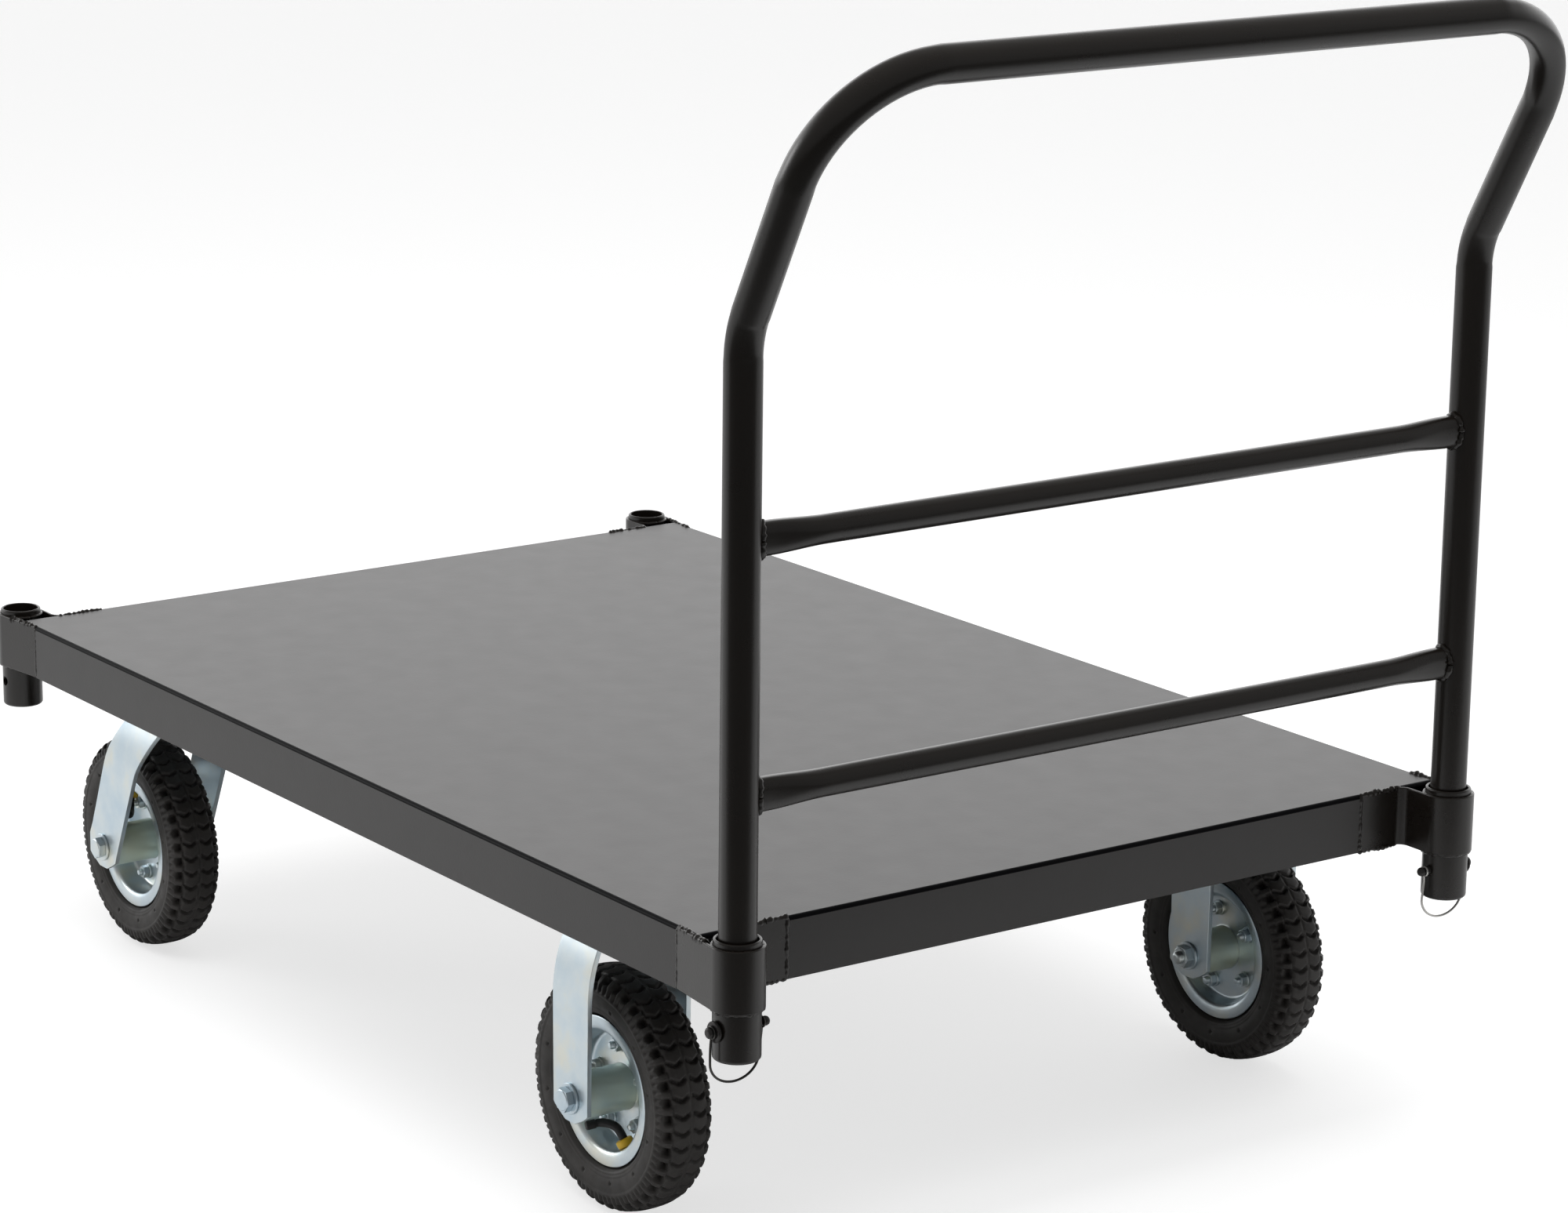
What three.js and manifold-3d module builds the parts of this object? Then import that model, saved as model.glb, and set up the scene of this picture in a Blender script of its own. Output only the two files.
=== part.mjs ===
// Platform cart: a folded steel deck on two rigid and two swivel casters with pneumatic
// tyres, and a lift-out push handle that stands in two of the four corner sockets.
// Millimetres, +Z up, floor at z = 0. +X points to the handle end (rear), -Y to the left.
import * as THREE from "three";
import { mergeVertices } from "three/addons/utils/BufferGeometryUtils.js";
import Module from "manifold-3d";

const wasm = await Module();
wasm.setup();

// ---- driving dimensions -------------------------------------------------------------
const GAP = 0.3; // clearance between pieces that touch
const TYRE = { radius: 101.6, sides: 30, halfWidth: 26.5 };
const AXLE_Z = TYRE.radius * Math.cos(Math.PI / TYRE.sides); // a flat of the tyre is down
const DECK = { length: 1143, width: 762, sheet: 2, skirt: 50.5, aboveAxle: 190 };
const DECK_TOP = AXLE_Z + DECK.aboveAxle;
const SOCKET = { x: 602.7, y: 366, outer: 19, bore: 16.6, above: 4.5, below: 91 };
const BAND = { outer: 21.9, thick: 2.6, seamIn: 28.5, seamSide: 297, fillet: 8 };
const HANDLE = { radius: 15, wall: 1.8, kink: 466.7, top: 669.6, lean: 105.5 };
const HANDLE_BENDS = { kink: 80, corner: 97, legEnd: 84 };
const RAIL = { radius: 11.2, wall: 1.6, upper: 311.8, lower: 114.4 };
const RAIL_END = { halfHeight: 13.3, halfWidth: 8, taper: 45 };
const PIN = { z: -66.5, radius: 4, hole: 4.6, tip: 30 };
const PIN_HEAD = { inner: 19.6, middle: 22.4, outer: 28, collar: 8.5, knob: 4.5 };
const BAIL = { wire: 1.1, halfSpan: 25.5, straight: 16.5 };
const CASTER = { y: 325, rearX: 385, pivotX: -350, trail: 74 };
const PLATE = { length: 114, width: 102, thick: 5, top: -32.3 };
const FORK = { half: 50, thick: 4.5, armHalf: 25.5, endHalf: 24, lowArc: 128, topArc: 16 };
const ARC_START = -108; // height at which the fork arms begin to curve inwards
const AXLE = { radius: 6, hole: 6.6, hexRadius: 11, hexHeight: 8 };
const HUB = { radius: 18.6, bore: 6.4, half: 44.9 };
const KINGPIN = { radius: 7, hole: 7.8, nutRadius: 13, nutHeight: 9 };
const RACE_RADIUS = 38; // ball race under each swivel plate
const CROSS = { halfWidth: 64, thick: 3, bottom: -32 };
const STIFFENER = { halfWidth: 30, thick: 2.5, bottom: -28 };

// The whole cart is centred on its own box, so the deck sits a little forward of x = 0.
const REAR_REACH = SOCKET.x + HANDLE.lean + HANDLE.radius;
const FRONT_REACH = SOCKET.x + BAND.outer;
const SHIFT_X = (FRONT_REACH - REAR_REACH) / 2;

const FINISH = {
  paint: { color: 0x2a2825, roughness: 0.45, metalness: 0.1 },
  zinc: { color: 0xbfcace, roughness: 0.35, metalness: 0.85 },
  tyre: { color: 0x2b2828, roughness: 0.85, metalness: 0 },
  hub: { color: 0x565f54, roughness: 0.5, metalness: 0.7 },
  rubber: { color: 0x161616, roughness: 0.7, metalness: 0 },
};

// ---- helpers ------------------------------------------------------------------------
function manifoldOf(geometry) {
  const bare = geometry.index ? geometry.toNonIndexed() : geometry.clone();
  bare.deleteAttribute("normal");
  bare.deleteAttribute("uv");
  const merged = mergeVertices(bare, 1e-3);
  return new wasm.Manifold(
    new wasm.Mesh({
      numProp: 3,
      vertProperties: new Float32Array(merged.attributes.position.array),
      triVerts: new Uint32Array(merged.index.array),
    }),
  );
}

function geometryOf(manifold) {
  const mesh = manifold.getMesh();
  const positions = new Float32Array(mesh.vertProperties);
  return new THREE.BufferGeometry()
    .setAttribute("position", new THREE.BufferAttribute(positions, 3))
    .setIndex(new THREE.BufferAttribute(new Uint32Array(mesh.triVerts), 1));
}

const join = (first, ...others) =>
  geometryOf(others.reduce((sum, g) => sum.add(manifoldOf(g)), manifoldOf(first)));
const cut = (first, ...others) =>
  geometryOf(others.reduce((rest, g) => rest.subtract(manifoldOf(g)), manifoldOf(first)));
const overlapOf = (a, b) => geometryOf(manifoldOf(a).intersect(manifoldOf(b)));

// A box given by its low and high corners.
function boxBetween([x0, y0, z0], [x1, y1, z1]) {
  return new THREE.BoxGeometry(x1 - x0, y1 - y0, z1 - z0).translate(
    (x0 + x1) / 2,
    (y0 + y1) / 2,
    (z0 + z1) / 2,
  );
}

// A body of revolution about Y; a half-step turn puts a flat, not a corner, at the bottom.
function turned(profile, sides) {
  const points = profile.map(([r, y]) => new THREE.Vector2(r, y));
  points.push(points[0].clone());
  return new THREE.LatheGeometry(points, sides, Math.PI / sides);
}

const turnedUpright = (profile, sides) => turned(profile, sides).rotateX(Math.PI / 2);

// A cylinder along Y, and the same for a hexagon with two level flats.
function rodY(radius, y0, y1, sides = 16) {
  const half = Math.PI / sides;
  return new THREE.CylinderGeometry(radius, radius, y1 - y0, sides, 1, false, half).translate(
    0,
    (y0 + y1) / 2,
    0,
  );
}
const hexY = (radius, y0, y1) => rodY(radius, y0, y1, 6);

const mirroredY = (geometry) => {
  const flipped = geometry.clone();
  flipped.scale(1, -1, 1);
  const solid = flipped.index ? flipped.toNonIndexed() : flipped;
  const p = solid.attributes.position.array;
  for (let i = 0; i < p.length; i += 9)
    for (let k = 0; k < 3; k += 1) [p[i + 3 + k], p[i + 6 + k]] = [p[i + 6 + k], p[i + 3 + k]];
  solid.deleteAttribute("normal");
  solid.deleteAttribute("uv");
  return solid;
};

const onSide = (geometry, side) => (side > 0 ? mirroredY(geometry) : geometry.clone());

// A curve through chosen stations, one ring of a swept tube at each of them.
class StationCurve extends THREE.Curve {
  constructor(stations) {
    super();
    this.stations = stations;
  }
  getPoint(t, target = new THREE.Vector3()) {
    const place = t * (this.stations.length - 1);
    const i = Math.min(Math.floor(place), this.stations.length - 2);
    return target.lerpVectors(this.stations[i], this.stations[i + 1], place - i);
  }
  getPointAt(u, target) {
    return this.getPoint(u, target);
  }
  getTangentAt(u, target = new THREE.Vector3()) {
    const i = Math.round(u * (this.stations.length - 1));
    const before = this.stations[Math.max(i - 1, 0)];
    const here = this.stations[i];
    const after = this.stations[Math.min(i + 1, this.stations.length - 1)];
    const arriving = here.clone().sub(before).normalize();
    const leaving = after.clone().sub(here).normalize();
    return target.copy(arriving).add(leaving).normalize();
  }
}

function sweptRound(stations, radius, sides, bore = 0) {
  const circle = (r) =>
    Array.from({ length: sides }, (_, i) => {
      const a = (2 * Math.PI * i) / sides;
      return new THREE.Vector2(r * Math.cos(a), r * Math.sin(a));
    });
  const shape = new THREE.Shape(circle(radius));
  if (bore) shape.holes.push(new THREE.Path(circle(bore)));
  const extrudePath = new StationCurve(stations);
  return new THREE.ExtrudeGeometry(shape, { steps: stations.length - 1, extrudePath });
}

// A plan outline drawn in X and Y and raised from z0 to z1.
function raised(shape, z0, z1, curveSegments = 10) {
  const depth = z1 - z0;
  return new THREE.ExtrudeGeometry(shape, { depth, bevelEnabled: false, curveSegments }).translate(
    0,
    0,
    z0,
  );
}

// An outline drawn in X and Z and given thickness along Y from y0 to y1.
function raisedAlongY(shape, y0, y1, curveSegments = 10) {
  return raised(shape, -y1, -y0, curveSegments).rotateX(Math.PI / 2);
}

// An outline drawn in Y and Z and given thickness along X from x0 to x1.
function raisedAlongX(shape, x0, x1, curveSegments = 10) {
  return raised(shape, x0, x1, curveSegments).rotateX(Math.PI / 2).rotateZ(Math.PI / 2);
}

// ---- deck and its frame (z measured from the deck top) ---------------------------------
const HALF_L = DECK.length / 2;
const HALF_W = DECK.width / 2;

const BAND_ARC_STEPS = 7; // chords in each arc of the band

// Plan of the rear left corner band: it leaves the side skirt at a seam, passes round the
// socket and comes back to the end skirt. grow makes the same outline larger all round.
function bandPlan(grow = 0) {
  const [cx, cy] = [SOCKET.x, -SOCKET.y];
  const [outer, inner] = [BAND.outer + grow, BAND.outer - BAND.thick - grow];
  const seam = new THREE.Vector2(HALF_L - BAND.seamIn, -HALF_W);
  const toSocket = new THREE.Vector2(cx, cy).sub(seam);
  const ramp = toSocket.angle() - Math.asin(BAND.outer / toSocket.length());
  const along = new THREE.Vector2(Math.cos(ramp), Math.sin(ramp));
  const inward = new THREE.Vector2(-along.y, along.x);
  const start = seam.clone().addScaledVector(along, -grow);
  const first = start.clone().addScaledVector(inward, -grow);
  const last = start.clone().addScaledVector(inward, BAND.thick + grow);
  const fillet = { x: HALF_L + BAND.fillet, y: cy + BAND.outer + BAND.fillet };
  const [near, far] = [BAND.fillet - grow, BAND.fillet + BAND.thick + grow];
  const seamY = -BAND.seamSide + grow;
  const shape = new THREE.Shape();
  shape.moveTo(first.x, first.y);
  shape.lineTo(cx + outer * Math.sin(ramp), cy - outer * Math.cos(ramp));
  shape.absarc(cx, cy, outer, ramp - Math.PI / 2, Math.PI / 2, false);
  shape.absarc(fillet.x, fillet.y, near, -Math.PI / 2, -Math.PI, true);
  shape.lineTo(fillet.x - near, seamY);
  shape.lineTo(fillet.x - far, seamY);
  shape.absarc(fillet.x, fillet.y, far, Math.PI, 1.5 * Math.PI, false);
  shape.absarc(cx, cy, inner, Math.PI / 2, ramp - Math.PI / 2, true);
  shape.lineTo(last.x, last.y);
  return shape;
}

// A rear left corner shape brought to any of the four corners.
function atCorner(geometry, end, side) {
  const sided = onSide(geometry, side);
  return end > 0 ? sided : onSide(sided, 1).rotateZ(Math.PI);
}

const CORNERS = [
  { name: "rear_left", end: 1, side: -1 },
  { name: "rear_right", end: 1, side: 1 },
  { name: "front_left", end: -1, side: -1 },
  { name: "front_right", end: -1, side: 1 },
];

function deckPan() {
  const low = -DECK.skirt;
  const inside = DECK.sheet;
  let pan = cut(
    boxBetween([-HALF_L, -HALF_W, low], [HALF_L, HALF_W, 0]),
    boxBetween([-HALF_L + inside, -HALF_W + inside, low - 1], [HALF_L - inside, HALF_W - inside, -inside]),
  );
  const cornerGap = boxBetween(
    [HALF_L - BAND.seamIn - GAP, -HALF_W - 1, low - 1],
    [HALF_L + 1, -BAND.seamSide + GAP, -inside],
  );
  const notch = raised(bandPlan(GAP), low - 1, 1, BAND_ARC_STEPS);
  for (const { end, side } of CORNERS)
    pan = cut(pan, atCorner(cornerGap, end, side), atCorner(notch, end, side));
  return pan;
}

const socketBand = () => raised(bandPlan(), -DECK.skirt, 0, BAND_ARC_STEPS);

function socketTube() {
  const { outer, bore, above, below } = SOCKET;
  const tube = turnedUpright(
    [
      [bore, -below],
      [outer - 2, -below],
      [outer, -below + 2],
      [outer, above],
      [bore, above],
    ],
    16,
  );
  return cut(tube, rodY(PIN.hole, -30, 30).translate(0, 0, PIN.z));
}

// A channel, open upwards, drawn across its run.
function channelShape(halfWidth, thick, top, bottom) {
  const outline = [
    [-halfWidth, bottom],
    [halfWidth, bottom],
    [halfWidth, top],
    [halfWidth - thick, top],
    [halfWidth - thick, bottom + thick],
    [-halfWidth + thick, bottom + thick],
    [-halfWidth + thick, top],
    [-halfWidth, top],
  ];
  return new THREE.Shape(outline.map(([u, v]) => new THREE.Vector2(u, v)));
}

const UNDERSIDE = -DECK.sheet - GAP;

function casterChannel() {
  const reach = HALF_W - DECK.sheet - GAP;
  const { halfWidth, thick, bottom } = CROSS;
  return raisedAlongY(channelShape(halfWidth, thick, UNDERSIDE, bottom), -reach, reach);
}

function deckStiffener() {
  const x0 = CASTER.pivotX + CROSS.halfWidth + GAP;
  const x1 = CASTER.rearX - CROSS.halfWidth - GAP;
  const { halfWidth, thick, bottom } = STIFFENER;
  return raisedAlongX(channelShape(halfWidth, thick, UNDERSIDE, bottom), x0, x1);
}

// ---- handle -----------------------------------------------------------------------------
const LEAN_ANGLE = Math.atan2(HANDLE.lean, HANDLE.top - HANDLE.kink);

// Stations of the left half of the handle, from the foot of the leg to mid-span.
function handleHalfStations(side) {
  const stations = [new THREE.Vector3(0, side * SOCKET.y, -HANDLE_BENDS.legEnd)];
  const kinkReach = HANDLE_BENDS.kink * Math.tan(LEAN_ANGLE / 2);
  for (let i = 0; i <= 4; i += 1) {
    const a = (LEAN_ANGLE * i) / 4;
    const x = HANDLE_BENDS.kink * (1 - Math.cos(a));
    const z = HANDLE.kink - kinkReach + HANDLE_BENDS.kink * Math.sin(a);
    stations.push(new THREE.Vector3(x, side * SOCKET.y, z));
  }
  const up = new THREE.Vector3(Math.sin(LEAN_ANGLE), 0, Math.cos(LEAN_ANGLE));
  const topMiddle = new THREE.Vector3(HANDLE.lean, 0, HANDLE.top);
  for (let i = 0; i <= 8; i += 1) {
    const a = (Math.PI / 2) * (i / 8);
    const radius = HANDLE_BENDS.corner;
    const along = topMiddle.clone().addScaledVector(up, -radius * (1 - Math.sin(a)));
    along.y = side * (SOCKET.y - radius * (1 - Math.cos(a)));
    stations.push(along);
  }
  return stations;
}

function handleTube() {
  const left = handleHalfStations(-1);
  const right = handleHalfStations(1).reverse();
  const tube = sweptRound([...left, ...right], HANDLE.radius, 12, HANDLE.radius - HANDLE.wall);
  const slots = [-1, 1].map((side) => {
    const slot = boxBetween([-PIN.hole, -20, -HANDLE_BENDS.legEnd - 1], [PIN.hole, 20, PIN.z]);
    return join(slot, rodY(PIN.hole, -20, 20).translate(0, 0, PIN.z)).translate(
      0,
      side * SOCKET.y,
      0,
    );
  });
  return cut(tube, ...slots);
}

// A cross rail: round in the middle, pressed tall and narrow at both ends, and fitted
// round the uprights.
function crossRail(height) {
  const reach = SOCKET.y - 2;
  const stations = [-reach, -reach + 20, -reach + RAIL_END.taper, reach - RAIL_END.taper];
  stations.push(reach - 20, reach);
  const sides = 12;
  const outline = (y, thin) => {
    const fromEnd = reach - Math.abs(y);
    const t = THREE.MathUtils.clamp((RAIL_END.taper - fromEnd) / (RAIL_END.taper - 20), 0, 1);
    const halfX = THREE.MathUtils.lerp(RAIL.radius, RAIL_END.halfWidth, t) - thin;
    const halfZ = THREE.MathUtils.lerp(RAIL.radius, RAIL_END.halfHeight, t) - thin;
    return Array.from({ length: sides }, (_, i) => {
      const a = (2 * Math.PI * i) / sides;
      return [halfX * Math.cos(a), y, halfZ * Math.sin(a)];
    });
  };
  const loft = (thin) => {
    const rings = stations.map((y) => outline(y, thin));
    const corners = [];
    const add = (...points) => points.forEach((p) => corners.push(...p));
    for (let s = 0; s + 1 < rings.length; s += 1)
      for (let i = 0; i < sides; i += 1) {
        const j = (i + 1) % sides;
        add(rings[s][i], rings[s + 1][i], rings[s + 1][j]);
        add(rings[s][i], rings[s + 1][j], rings[s][j]);
      }
    const [head, tail] = [rings[0], rings[rings.length - 1]];
    for (let i = 1; i + 1 < sides; i += 1) {
      add(head[0], head[i], head[i + 1]);
      add(tail[0], tail[i + 1], tail[i]);
    }
    const positions = new THREE.Float32BufferAttribute(corners, 3);
    return new THREE.BufferGeometry().setAttribute("position", positions);
  };
  const clearance = HANDLE.radius + GAP;
  const uprights = [-1, 1].map((side) =>
    new THREE.CylinderGeometry(clearance, clearance, 60, 24)
      .rotateX(Math.PI / 2)
      .translate(0, side * SOCKET.y, 0),
  );
  return cut(loft(0), loft(RAIL.wall), ...uprights).translate(0, 0, height);
}

// ---- lock pins and their bails (left side, head outwards) ----------------------------------
function lockPin() {
  const collar = rodY(PIN_HEAD.collar, -PIN_HEAD.middle, -PIN_HEAD.inner);
  const knob = rodY(PIN_HEAD.knob, -PIN_HEAD.outer, -PIN_HEAD.middle + 0.1);
  return join(rodY(PIN.radius, -PIN_HEAD.inner - 0.1, PIN.tip), collar, knob);
}

function bail() {
  const { halfSpan, straight } = BAIL;
  const stations = [new THREE.Vector3(0, -halfSpan, -5.9), new THREE.Vector3(0, -halfSpan, -straight)];
  for (let i = 1; i < 10; i += 1) {
    const a = Math.PI + (Math.PI * i) / 10;
    const y = halfSpan * Math.cos(a);
    stations.push(new THREE.Vector3(0, y, -straight + halfSpan * Math.sin(a)));
  }
  stations.push(new THREE.Vector3(0, halfSpan, -straight), new THREE.Vector3(0, halfSpan, -4.6));
  return sweptRound(stations, BAIL.wire, 6);
}

// ---- casters (origin on the wheel's axle, z measured from the axle) ------------------------
const fromAxle = (z) => z + DECK.aboveAxle;

const FORK_FOOT = -30; // lower than any arm reaches

// The fork seen along X: two upright arms that curve in and meet in a level crown.
function forkShape(crownTop) {
  const { half, thick, lowArc, topArc } = FORK;
  const start = fromAxle(ARC_START);
  const lean = Math.asin((fromAxle(crownTop) - topArc - start) / (lowArc - topArc));
  const topX = half - lowArc + (lowArc - topArc) * Math.cos(lean);
  const topZ = start + (lowArc - topArc) * Math.sin(lean);
  const shape = new THREE.Shape();
  shape.moveTo(half, FORK_FOOT);
  shape.lineTo(half, start);
  shape.absarc(half - lowArc, start, lowArc, 0, lean, false);
  shape.absarc(topX, topZ, topArc, lean, Math.PI / 2, false);
  shape.absarc(-topX, topZ, topArc, Math.PI / 2, Math.PI - lean, false);
  shape.absarc(lowArc - half, start, lowArc, Math.PI - lean, Math.PI, false);
  shape.lineTo(-half, FORK_FOOT);
  shape.lineTo(-half + thick, FORK_FOOT);
  shape.absarc(lowArc - half, start, lowArc - thick, Math.PI, Math.PI - lean, true);
  shape.absarc(-topX, topZ, topArc - thick, Math.PI - lean, Math.PI / 2, true);
  shape.absarc(topX, topZ, topArc - thick, Math.PI / 2, lean, true);
  shape.absarc(half - lowArc, start, lowArc - thick, lean, 0, true);
  shape.lineTo(half - thick, FORK_FOOT);
  return shape;
}

// Outlines of the arms seen along Y: the rigid arm is upright, the swivel arm is raked.
function rigidArmShape() {
  const { armHalf, endHalf } = FORK;
  const shape = new THREE.Shape();
  shape.moveTo(endHalf, 0);
  shape.lineTo(armHalf, fromAxle(ARC_START));
  shape.lineTo(armHalf, fromAxle(0));
  shape.lineTo(-armHalf, fromAxle(0));
  shape.lineTo(-armHalf, fromAxle(ARC_START));
  shape.lineTo(-endHalf, 0);
  shape.absarc(0, 0, endHalf, Math.PI, 2 * Math.PI, false);
  return shape;
}

function swivelArmShape() {
  const crownHalf = 33.5;
  const kneeFront = { x: 68, z: fromAxle(-101) };
  const kneeBack = { x: 13, z: fromAxle(-89) };
  const endRadius = 26;
  const rake = THREE.MathUtils.degToRad(-24);
  const shape = new THREE.Shape();
  shape.moveTo(CASTER.trail + crownHalf, fromAxle(-46));
  shape.lineTo(CASTER.trail + crownHalf, fromAxle(0));
  shape.lineTo(CASTER.trail - crownHalf, fromAxle(0));
  shape.lineTo(CASTER.trail - crownHalf, fromAxle(-48));
  shape.lineTo(kneeBack.x, kneeBack.z);
  shape.absarc(0, 0, endRadius, Math.PI + rake, 2 * Math.PI + rake, false);
  shape.lineTo(kneeFront.x, kneeFront.z);
  return shape;
}

const mountingPlate = () =>
  boxBetween(
    [-PLATE.length / 2, -PLATE.width / 2, fromAxle(PLATE.top - PLATE.thick)],
    [PLATE.length / 2, PLATE.width / 2, fromAxle(PLATE.top)],
  );

const axleHole = () => rodY(AXLE.hole, -FORK.half - 5, FORK.half + 5);

function rigidFork() {
  const plateBottom = PLATE.top - PLATE.thick;
  const bent = raisedAlongX(forkShape(plateBottom + 0.2), -40, 40, 4);
  const arms = overlapOf(bent, raisedAlongY(rigidArmShape(), -60, 60, 6));
  return cut(join(arms, mountingPlate()), axleHole());
}

const CROWN_TOP = -45.3;

function swivelFork() {
  const bent = raisedAlongX(forkShape(CROWN_TOP), -60, 120, 4);
  const arms = overlapOf(bent, raisedAlongY(swivelArmShape(), -60, 60, 6));
  const pivotHole = turnedUpright(disc(KINGPIN.hole, -10, 10), 16);
  return cut(arms, axleHole(), pivotHole.translate(CASTER.trail, 0, fromAxle(CROWN_TOP)));
}

// The profile of a solid disc about the axis, closed on the axis.
const disc = (radius, y0, y1) => [
  [0, y0],
  [radius, y0],
  [radius, y1],
  [0, y1],
];

function swivelPlate() {
  const bottom = fromAxle(PLATE.top - PLATE.thick);
  const cup = turnedUpright(disc(RACE_RADIUS, fromAxle(CROWN_TOP) + 0.8, bottom + 0.5), 24);
  const hole = turnedUpright(disc(KINGPIN.radius + 0.4, bottom - 20, bottom + 20), 16);
  return cut(join(mountingPlate(), cup), hole);
}

function kingpin() {
  const crownBottom = fromAxle(CROWN_TOP) - FORK.thick;
  const shank = turnedUpright(disc(KINGPIN.radius, crownBottom - 2, fromAxle(PLATE.top) - 0.2), 16);
  const nutTop = crownBottom - 0.6;
  const nut = hexY(KINGPIN.nutRadius, 0, KINGPIN.nutHeight).rotateX(Math.PI / 2);
  return join(shank, nut.translate(0, 0, nutTop - KINGPIN.nutHeight));
}

function axleBolt() {
  const face = -FORK.half - GAP;
  const head = hexY(AXLE.hexRadius, face - AXLE.hexHeight, face);
  return join(rodY(AXLE.radius, face - 0.2, FORK.half + 14), head);
}

function axleNut() {
  const face = FORK.half + GAP;
  const hole = rodY(AXLE.radius + 0.25, face - 1, face + 20);
  return cut(hexY(AXLE.hexRadius, face, face + 10), hole);
}

// ---- wheel -------------------------------------------------------------------------------
// Mirrors a half profile about mid-width and returns the whole closed loop.
const bothHalves = (half) => [...half.map(([r, y]) => [r, -y]), ...half.map(([r, y]) => [r, y]).reverse()];

function tyre() {
  const outside = bothHalves([
    [52.5, 17],
    [63.6, 17],
    [72, TYRE.halfWidth - 1],
    [91, TYRE.halfWidth - 1],
    [TYRE.radius, 14],
  ]);
  const inside = bothHalves([
    [52.5, 11],
    [64, 12],
    [88, 20],
  ]).reverse();
  return turned([...outside, ...inside], TYRE.sides);
}

function innerTube() {
  return turned(
    bothHalves([
      [57, 6],
      [72, 14],
      [86.5, 17],
    ]),
    16,
  );
}

// One half of the split rim: web, bead seat and flange. The two halves meet at mid-width.
function rimHalf() {
  return turned(
    [
      [19.4, 0.15],
      [49, 0.15],
      [51.8, 17.4],
      [62.5, 17.6],
      [62.5, 20],
      [53.5, 19.6],
      [49.2, 17.2],
      [46.6, 2.7],
      [19.4, 2.7],
    ],
    18,
  );
}

function hub() {
  return turned(
    [
      [HUB.bore, -HUB.half],
      [HUB.radius, -HUB.half],
      [HUB.radius, HUB.half],
      [HUB.bore, HUB.half],
    ],
    16,
  );
}

// The bent valve stem: out of the rim, then sideways so that a pump can reach it.
function valveStem() {
  const stations = [
    [33.8, -9, -31],
    [30, -11, -29.5],
    [24, -14.5, -29],
    [14, -22, -30.5],
    [2, -32, -31.5],
  ].map(([x, y, z]) => new THREE.Vector3(x, y, z));
  return sweptRound(stations, 3, 8);
}

// ---- assembly ------------------------------------------------------------------------------
const cart = new THREE.Group();
cart.position.set(SHIFT_X, 0, 0);

function addMesh(parent, name, geometry, finish) {
  const mesh = new THREE.Mesh(geometry, new THREE.MeshStandardMaterial(FINISH[finish]));
  mesh.name = name;
  parent.add(mesh);
  return mesh;
}

function groupAt(parent, x, y, z) {
  const group = new THREE.Group();
  group.position.set(x, y, z);
  parent.add(group);
  return group;
}

function addDeck() {
  const deck = groupAt(cart, 0, 0, DECK_TOP);
  addMesh(deck, "deck_pan", deckPan(), "paint");
  addMesh(deck, "caster_channel_rear", casterChannel(), "paint").position.x = CASTER.rearX;
  addMesh(deck, "caster_channel_front", casterChannel(), "paint").position.x = CASTER.pivotX;
  addMesh(deck, "deck_stiffener", deckStiffener(), "paint");
  for (const { name, end, side } of CORNERS) {
    addMesh(deck, "socket_band_" + name, atCorner(socketBand(), end, side), "paint");
    const tube = addMesh(deck, "socket_tube_" + name, socketTube(), "paint");
    tube.position.set(end * SOCKET.x, side * SOCKET.y, 0);
  }
}

function addHandle() {
  const handle = groupAt(cart, SOCKET.x, 0, DECK_TOP);
  addMesh(handle, "handle_tube", handleTube(), "paint");
  addMesh(handle, "upper_rail", crossRail(RAIL.upper), "paint");
  addMesh(handle, "lower_rail", crossRail(RAIL.lower), "paint");
  for (const [word, side] of [["left", -1], ["right", 1]]) {
    const pin = groupAt(handle, 0, side * SOCKET.y, PIN.z);
    addMesh(pin, "lock_pin_" + word, onSide(lockPin(), side), "paint");
    addMesh(pin, "bail_" + word, onSide(bail(), side), "zinc");
  }
}

function addWheel(caster, name, side, valveTurn) {
  addMesh(caster, "axle_bolt_" + name, onSide(axleBolt(), side), "zinc");
  addMesh(caster, "axle_nut_" + name, onSide(axleNut(), side), "zinc");
  addMesh(caster, "tyre_" + name, tyre(), "tyre");
  addMesh(caster, "inner_tube_" + name, innerTube(), "rubber");
  addMesh(caster, "rim_outer_" + name, onSide(mirroredY(rimHalf()), side), "zinc");
  addMesh(caster, "rim_inner_" + name, onSide(rimHalf(), side), "zinc");
  addMesh(caster, "hub_" + name, hub(), "hub");
  const valve = onSide(valveStem(), side).rotateY(THREE.MathUtils.degToRad(valveTurn));
  addMesh(caster, "valve_" + name, valve, "rubber");
}

function addRearCaster(word, side) {
  const caster = groupAt(cart, CASTER.rearX, side * CASTER.y, AXLE_Z);
  addMesh(caster, "rigid_fork_" + word, rigidFork(), "zinc");
  addWheel(caster, "rear_" + word, side, 0);
}

function addFrontCaster(word, side) {
  const caster = groupAt(cart, CASTER.pivotX - CASTER.trail, side * CASTER.y, AXLE_Z);
  addMesh(caster, "swivel_fork_" + word, swivelFork(), "zinc");
  addWheel(caster, "front_" + word, side, 180);
  const pivot = groupAt(cart, CASTER.pivotX, side * CASTER.y, AXLE_Z);
  addMesh(pivot, "swivel_plate_" + word, swivelPlate(), "zinc");
  addMesh(pivot, "kingpin_" + word, kingpin(), "zinc");
}

addDeck();
addHandle();
for (const [word, side] of [["left", -1], ["right", 1]]) {
  addRearCaster(word, side);
  addFrontCaster(word, side);
}

export default cart;
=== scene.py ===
"""Platform cart with a lift-out handle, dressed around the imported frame. Metres, +Z up."""

from math import asin, atan2, copysign, cos, degrees, pi, radians, sin, sqrt, tan

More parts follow.
